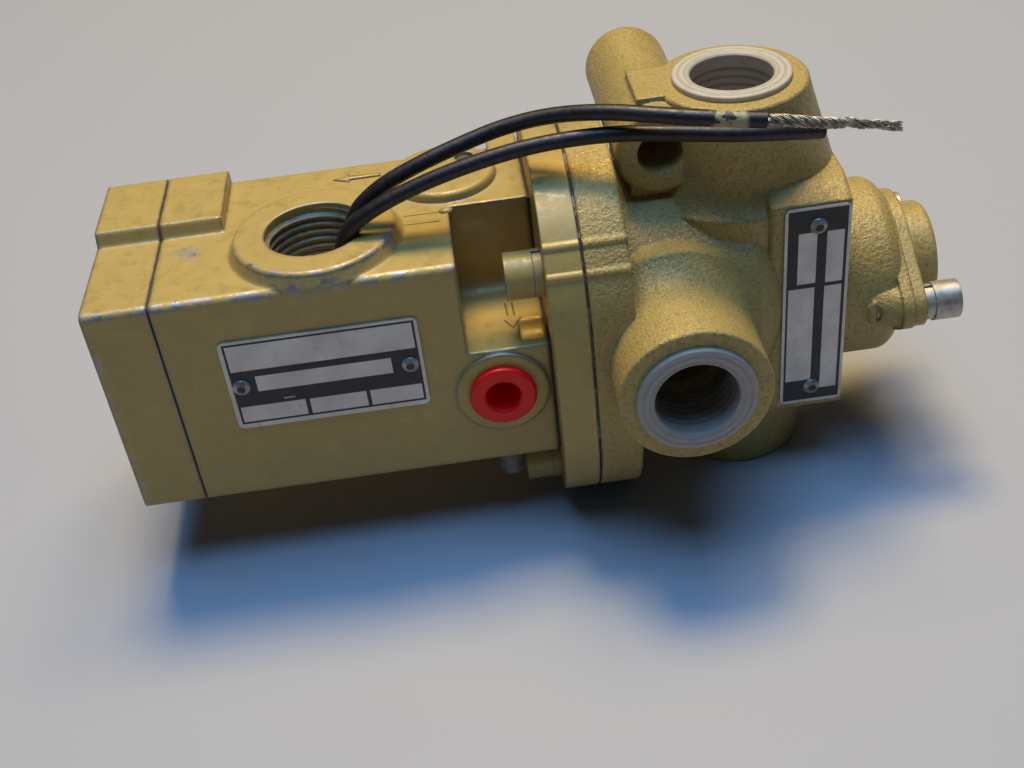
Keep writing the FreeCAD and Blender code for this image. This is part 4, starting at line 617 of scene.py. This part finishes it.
def thread(name, centre, axis, bore, start, end):
    """Thread ridge in a bore, from start to end along its axis: a helix that fades out at both ends.

    The ridge has a wide root, sunk a little into the wall, and a narrow crest.
    """
    mesh = bmesh.new()
    others = [k for k in (X, Y, Z) if k != axis]
    steps = int((end - start) / THREAD_PITCH * STEPS_A_TURN)
    run_out = STEPS_A_TURN * RUN_OUT_TURNS
    root = bore + ROOT_SUNK
    rings = []
    for step in range(steps + 1):
        angle = 2 * math.pi * step / STEPS_A_TURN
        level = start + THREAD_PITCH * step / STEPS_A_TURN
        fade = min(1.0, step / run_out, (steps - step) / run_out)
        crest = bore - THREAD_HEIGHT * fade
        section = ((-THREAD_ROOT, root), (-THREAD_CREST, crest), (THREAD_CREST, crest), (THREAD_ROOT, root))
        ring = []
        for shift, radius in section:
            spot = list(centre)
            spot[axis] += level + shift * max(fade, LEAST_WIDTH)
            spot[others[0]] += radius * math.cos(angle)
            spot[others[1]] += radius * math.sin(angle)
            ring.append(mesh.verts.new(Vector(spot) * MM))
        rings.append(ring)
    join_rings(mesh, rings)
    finished(name, mesh, thread_metal.material, smooth=False)


thread("conduit_thread", CONDUIT + (CONDUIT_FACE_Z,), Z, CONDUIT_BORE, *CONDUIT_THREAD)
thread("bottom_port_thread", (0.0, 0.0, 0.0), Z, PORT_BORE, *BOTTOM_THREAD)
thread("top_port_thread", top_port, Z, PORT_BORE, *TOP_THREAD)
thread("front_port_thread", front_port, Y, PORT_BORE, *FRONT_THREAD)


# Cast details, in millimetres

MARK_SUNK = 0.3
MARK_ROUNDING = 0.18
FLOW_ARROW = [
    (-86.4, 17.4), (-82.6, 15.6), (-82.6, 16.8), (-75.6, 16.6), (-75.6, 17.8), (-82.6, 18.0), (-82.6, 19.2),
]
FLOW_ARROW_HEIGHT = 0.35


def raised_mark(name, corners, level, height, material):
    """A flat cast mark with softened edges on a level surface, from (x, y) corners."""
    mesh = bmesh.new()
    top = join_rings(mesh, [
        [mesh.verts.new(Vector((x, y, z)) * MM) for x, y in corners]
        for z in (level - MARK_SUNK, level + height)
    ])
    bmesh.ops.bevel(mesh, geom=list(top.edges), offset=MARK_ROUNDING * MM, segments=2, affect="EDGES")
    finished(name, mesh, material, smooth=False)


raised_mark("flow_arrow", FLOW_ARROW, HOUSING_TOP_Z, FLOW_ARROW_HEIGHT, housing_paint)

LUMP_UNEVEN = 0.22
LUMP_WAVES = 1.7
NOTCH_LUMP_AT = (-61.9, -2.6, 70.7)
NOTCH_LUMP_SIZE = (1.6, 1.2, 0.7)

# The lumps on the body's two ears lie at the same place on both sides.
EAR_LUMP_X, EAR_LUMP_Y, EAR_LUMP_Z = 26.7, 20.4, 42.1
EAR_LUMP_SIZE = (1.9, 1.1, 3.0)


def cast_lump(name, centre, size, material):
    """A small rounded lump left by the casting mould, with its half sizes along x, y and z."""
    mesh = bmesh.new()
    bmesh.ops.create_icosphere(mesh, subdivisions=3, radius=1.0)
    for vertex in mesh.verts:
        swell = 1.0 + LUMP_UNEVEN * noise.noise(vertex.co * LUMP_WAVES)
        vertex.co = Vector([c * MM + v * r * swell * MM for c, v, r in zip(centre, vertex.co, size)])
    finished(name, mesh, material)


cast_lump("notch_corner_lump", NOTCH_LUMP_AT, NOTCH_LUMP_SIZE, housing_paint)
cast_lump("front_ear_lump", (EAR_LUMP_X, -EAR_LUMP_Y, EAR_LUMP_Z), EAR_LUMP_SIZE, body_paint)
cast_lump("back_ear_lump", (EAR_LUMP_X, EAR_LUMP_Y, EAR_LUMP_Z), EAR_LUMP_SIZE, body_paint)


# Sealing compound round the flange, in millimetres

SEALANT_INSET = 0.22
SEALANT_RADIUS = 0.26
SEALANT_BEADS = 0.16
SEALANT_RAGGED = 0.05
SEALANT_ASIDE = 0.10
SEALANT_SIDES = 8
SIDE_STEPS = 26
ARC_STEPS = 78


def flange_path():
    """The flange's outline from its front foot over the top to its back foot, a little inset, as (y, z)."""
    half = FLANGE_HALF - SEALANT_INSET
    top = FLANGE_TOP - SEALANT_INSET
    rounding = FLANGE_TOP_ROUND - SEALANT_INSET
    straight = FLANGE_TOP - FLANGE_TOP_ROUND - FLANGE_FOOT_ROUND
    levels = [FLANGE_FOOT_ROUND + k * straight / SIDE_STEPS for k in range(SIDE_STEPS)]
    path = [(-half, z) for z in levels]
    for centre, first in ((rounding - half, math.pi), (half - rounding, math.pi / 2)):
        for k in range(ARC_STEPS + 1):
            angle = first - k * math.pi / 2 / ARC_STEPS
            path.append((centre + rounding * math.cos(angle), top - rounding + rounding * math.sin(angle)))
    path += [(half, z) for z in reversed(levels)]
    return path


def sealing_compound():
    """Brown compound, pale where it has dried."""
    s = Shade("sealing_compound")
    dried = s.ramp(s.noise(3.0, 4.0, 0.6), 0.50, 0.62)
    s.set(
        Base_Color=s.mix(dried, (0.060, 0.046, 0.032), (0.30, 0.26, 0.19)),
        Roughness=s.wander(1.0, 2.0, 0.45, 0.65),
        Normal=s.bump(s.noise(0.5, 3.0), 0.08),
    )
    return s.material


def sealant():
    """Ragged sealing compound that was squeezed out between the adapter plate and the flange."""
    path = flange_path()
    line, radii = [], []
    for index, (y, z) in enumerate(path):
        share = index / (len(path) - 1)
        aside = SEALANT_ASIDE * noise.noise(Vector((index * 0.21, 0.0, 4.0)))
        bead = SEALANT_BEADS * max(0.0, noise.noise(Vector((share * 46.0, 1.0, 0.0))))
        ragged = SEALANT_RAGGED * noise.noise(Vector((share * 150.0, 2.0, 0.0)))
        line.append(Vector((GASKET_X + aside, y, z)) * MM)
        radii.append(SEALANT_RADIUS + bead + ragged)
    mesh = bmesh.new()
    add_tube(mesh, line, radii, SEALANT_SIDES)
    finished("sealing_compound_bead", mesh, sealing_compound())


sealant()


# Springs

def shortening_spring(spring_row):
    """A copy of a spring's CAD node that stands in for it. Its fixed end is read from the frame's record,
    but nothing makes the copy shorten while its joint moves.
    """
    node = spring_row["node"]
    axis_name = spring_row["mode"][-1]
    fixed = spring_row[f"fixed_end_{axis_name}_m"]
    axis = "xyz".index(axis_name)
    low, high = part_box(node)
    anchor = (low + high) / 2
    anchor[axis] = fixed
    spring = link(bpy.data.objects.new(node + "_coils", nodes[node].data.copy()))
    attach(spring, "valve")
    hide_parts(node)
    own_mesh(spring)


for joint in frame["joints"]:
    for spring_row in joint["deforming_nodes"]:
        shortening_spring(spring_row)


# Lead wires, in millimetres, on the same routes as in the CAD

WIRE_DIAMETER = 3.3
WIRE_A = [
    (-82.7, -8.5, 56.9), (-82.7, -8.5, 68.0), (-81.4, -8.6, 75.9), (-75.4, -8.2, 81.2),
    (-66.7, -7.6, 84.9), (-57.6, -6.6, 87.6), (-48.2, -6.2, 90.2), (-38.4, -8.2, 92.4),
    (-28.0, -13.2, 94.0), (-17.6, -18.2, 94.0), (-7.8, -21.8, 93.6), (1.4, -23.6, 92.9),
]
WIRE_B = [
    (-84.9, -12.5, 56.9), (-84.9, -12.5, 67.0), (-83.0, -13.0, 75.2), (-75.8, -12.7, 79.6),
    (-66.5, -12.0, 82.9), (-56.6, -11.8, 85.6), (-46.0, -11.8, 87.7), (-35.2, -12.6, 88.9),
    (-24.6, -14.0, 89.2), (-14.2, -16.4, 88.8), (-3.6, -18.6, 88.1), (6.0, -18.4, 87.0),
    (14.6, -16.0, 84.9),
]
STRANDS_A = [WIRE_A[-1], (10.4, -25.4, 92.2), (19.0, -25.4, 90.4), (27.6, -23.6, 87.4)]

# Where the upper wire's insulation is frayed, as x
FRAYED = (-8.8, -2.4)


def nurbs(name, points, radius):
    """A smooth open curve with the route's points as its control points."""
    data = bpy.data.curves.new(name, "CURVE")
    data.dimensions = "3D"
    data.resolution_u = 16
    spline = data.splines.new("NURBS")
    spline.points.add(len(points) - 1)
    for point, place in zip(spline.points, points):
        point.co = (place[X] * MM, place[Y] * MM, place[Z] * MM, 1.0)
    spline.order_u = 3
    spline.use_endpoint_u = True
    data.bevel_depth = radius * MM
    data.bevel_resolution = 6
    data.use_fill_caps = True
    return link(bpy.data.objects.new(name, data))


def route_line(points):
    """Points read from the smooth curve along a route, in metres."""
    obj = nurbs("measure", points, 0.0)
    mesh = bpy.data.meshes.new_from_object(obj.evaluated_get(bpy.context.evaluated_depsgraph_get()))
    line = [v.co.copy() for v in mesh.vertices]
    bpy.data.objects.remove(obj)
    bpy.data.meshes.remove(mesh)
    return line


def insulation(name):
    """Black insulation with light scuffs, as a shade to build on."""
    s = Shade(name)
    scuffs = s.ramp(s.noise(1.8, 5.0, 0.65), 0.55, 0.72)
    s.set(
        Base_Color=s.cover((0.018, 0.013, 0.012), (0.07, 0.055, 0.06), scuffs, 0.45),
        Roughness=s.wander(1.2, 3.0, 0.34, 0.55),
        Normal=s.bump(s.noise(0.7, 3.0), 0.05, 0.6),
    )
    return s


def frayed_insulation(name):
    """Insulation that is frayed to a pale colour near its end."""
    s = insulation(name)
    frayed = s.times(s.band(s.split()[X], *FRAYED, 0.5), s.ramp(s.noise(2.0, 4.0), 0.40, 0.48))
    s.set(Base_Color=s.mix(frayed, s.base_colour(), (0.40, 0.33, 0.17)))
    return s


def lead(name, points, shade, node):
    """A lead wire that stands for a CAD node."""
    wire = nurbs(name, points, WIRE_DIAMETER / 2)
    wire.data.materials.append(shade.material)
    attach(wire, "valve")
    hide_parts(node)
    return wire


wire_a = lead("lead_wire_a_jacket", WIRE_A, frayed_insulation("wire_jacket_a"), "lead_wire_a")
wire_b = lead("lead_wire_b_jacket", WIRE_B, insulation("wire_jacket_b"), "lead_wire_b")


# Bare strands of the upper wire, in millimetres

BUNDLES = 7
LONG_BUNDLES = (0, 2, 3, 5)
STRANDS_A_BUNDLE = 4
STRAND_RADIUS = 0.16
STRAND_SIDES = 6
ROPE_RADIUS = 0.78
BUNDLE_RADIUS = 0.24

# How far the bundles and the strands in a bundle twist on the whole way, in radians
ROPE_TWIST = 15.0
BUNDLE_TWIST = 34.0

# Where the short bundles end, as a share of the way, and how much later each next bundle or strand does
SHORT_END = 0.50
NEXT_BUNDLE = 0.04
NEXT_STRAND = 0.02
OPENING_STARTS = 0.22


def strand_line(frames, bundle, strand):
    """The way of one strand. A short bundle ends past halfway, and each one opens out near its end."""
    finish = 1.0 if bundle in LONG_BUNDLES else SHORT_END + NEXT_BUNDLE * bundle
    line = []
    for index, (spot, across, up) in enumerate(frames):
        share = index / (len(frames) - 1)
        if share > finish + NEXT_STRAND * strand:
            break
        near_end = max(0.0, share - finish + OPENING_STARTS)
        open_out = 1.0 + 1.1 * near_end + 0.25 * math.sin(share * 9 + bundle)
        thinner = 1.0 - 0.32 * min(1.0, max(0.0, (share - 0.5) * 5.0))
        angle = 2 * math.pi * bundle / BUNDLES + share * ROPE_TWIST
        inner = 2 * math.pi * strand / STRANDS_A_BUNDLE + share * BUNDLE_TWIST + bundle
        rope = ROPE_RADIUS * open_out * thinner
        twist = BUNDLE_RADIUS * open_out
        u = rope * math.cos(angle) + twist * math.cos(inner)
        v = rope * math.sin(angle) + twist * math.sin(inner)
        line.append(spot + (across * u + up * v) * MM)
    return line


def tinned_copper():
    """Tin over copper, brown where it is tarnished."""
    s = Shade("tinned_copper")
    tarnish = s.ramp(s.noise(1.2, 4.0), 0.42, 0.62)
    s.set(
        Base_Color=s.mix(tarnish, (0.56, 0.50, 0.38), (0.26, 0.20, 0.12)),
        Metallic=s.wander(2.0, 1.0, 0.70, 0.85),
        Roughness=s.wander(0.8, 2.0, 0.34, 0.50),
        Normal=s.bump(s.noise(0.3, 2.0), 0.02),
    )
    return s.material


def bare_strands():
    """Twisted bundles of tinned copper strands that leave the jacket's end and fray towards the tip."""
    frames = frames_along(route_line(STRANDS_A))
    mesh = bmesh.new()
    for bundle in range(BUNDLES):
        for strand in range(STRANDS_A_BUNDLE):
            line = strand_line(frames, bundle, strand)
            add_tube(mesh, line, [STRAND_RADIUS] * len(line), STRAND_SIDES)
    piece = finished("bare_strands_a", mesh, tinned_copper())
    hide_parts("wire_strands")
    return piece


strands_a = bare_strands()


# Camera, as fitted to the photo. Its place is in millimetres.

CAMERA_AT = Vector((-57.65057, -249.18273, 211.29093)) * MM
CAMERA_RIGHT = Vector((0.9904139, -0.0960936, -0.09922863))
CAMERA_AHEAD = Vector((0.01610003, 0.79377429, -0.60799931))
FOCAL_PIXELS = 1323.175
IMAGE_WIDTH = 1024
SENSOR_WIDTH = 36.0

camera_data = bpy.data.cameras.new("camera")
camera_data.sensor_width = SENSOR_WIDTH
camera_data.lens = SENSOR_WIDTH * FOCAL_PIXELS / IMAGE_WIDTH
camera_data.clip_start = 0.01
camera_data.clip_end = 50.0
camera = link(bpy.data.objects.new("camera", camera_data))
camera_up = CAMERA_RIGHT.cross(CAMERA_AHEAD)
turn = Matrix((CAMERA_RIGHT, camera_up, -CAMERA_AHEAD)).transposed()
camera.matrix_world = Matrix.Translation(CAMERA_AT) @ turn.to_4x4()
scene.camera = camera
scene.view_settings.view_transform = "Standard"


# Light, in metres and watts: two warm lamps behind the object and a wide blue one above it

KEY_LEFT_AT = (-0.096, 0.411, 1.315)
KEY_RIGHT_AT = (0.317, 0.483, 1.237)
KEY_SIZE = 0.40
KEY_POWER = 14.2
KEY_RIGHT_SHARE = 0.3
KEY_COLOUR = (1.0, 0.735, 0.27)
SKY_AT = (-0.05, -0.05, 1.8)
SKY_SIZE = 1.4
SKY_POWER = 28.8
SKY_COLOUR = (0.238, 0.503, 1.0)
LAMPS_AIM = Vector((-0.045, 0.0, 0.03))
WORLD_COLOUR = (0.21, 0.49, 1.0)
WORLD_STRENGTH = 0.04


def lamp(name, at, size, power, colour):
    """A round lamp that shines on the middle of the object."""
    data = bpy.data.lights.new(name, "AREA")
    data.shape = "DISK"
    data.size = size
    data.energy = power
    data.color = colour
    obj = link(bpy.data.objects.new(name, data))
    obj.location = at
    obj.rotation_mode = "QUATERNION"
    obj.rotation_quaternion = (Vector(at) - LAMPS_AIM).to_track_quat("Z", "Y")


lamp("key_left", KEY_LEFT_AT, KEY_SIZE, KEY_POWER, KEY_COLOUR)
lamp("key_right", KEY_RIGHT_AT, KEY_SIZE, KEY_POWER * KEY_RIGHT_SHARE, KEY_COLOUR)
lamp("sky", SKY_AT, SKY_SIZE, SKY_POWER, SKY_COLOUR)

world = bpy.data.worlds.new("studio")
world.use_nodes = True
background = world.node_tree.nodes["Background"]
background.inputs["Color"].default_value = WORLD_COLOUR + (1.0,)
background.inputs["Strength"].default_value = WORLD_STRENGTH
scene.world = world


# Floor, in metres

FLOOR_HALF = 4.0


def plain_floor():
    """A wide level floor in plain grey."""
    corners = [(x * FLOOR_HALF, y * FLOOR_HALF, 0) for x, y in ((-1, -1), (1, -1), (1, 1), (-1, 1))]
    mesh = bpy.data.meshes.new("floor")
    mesh.from_pydata(corners, [], [(0, 1, 2, 3)])
    s = Shade("floor_plain")
    s.set(Base_Color=(0.42, 0.42, 0.43), Roughness=0.6)
    mesh.materials.append(s.material)
    return link(bpy.data.objects.new("floor", mesh))


plain_floor()
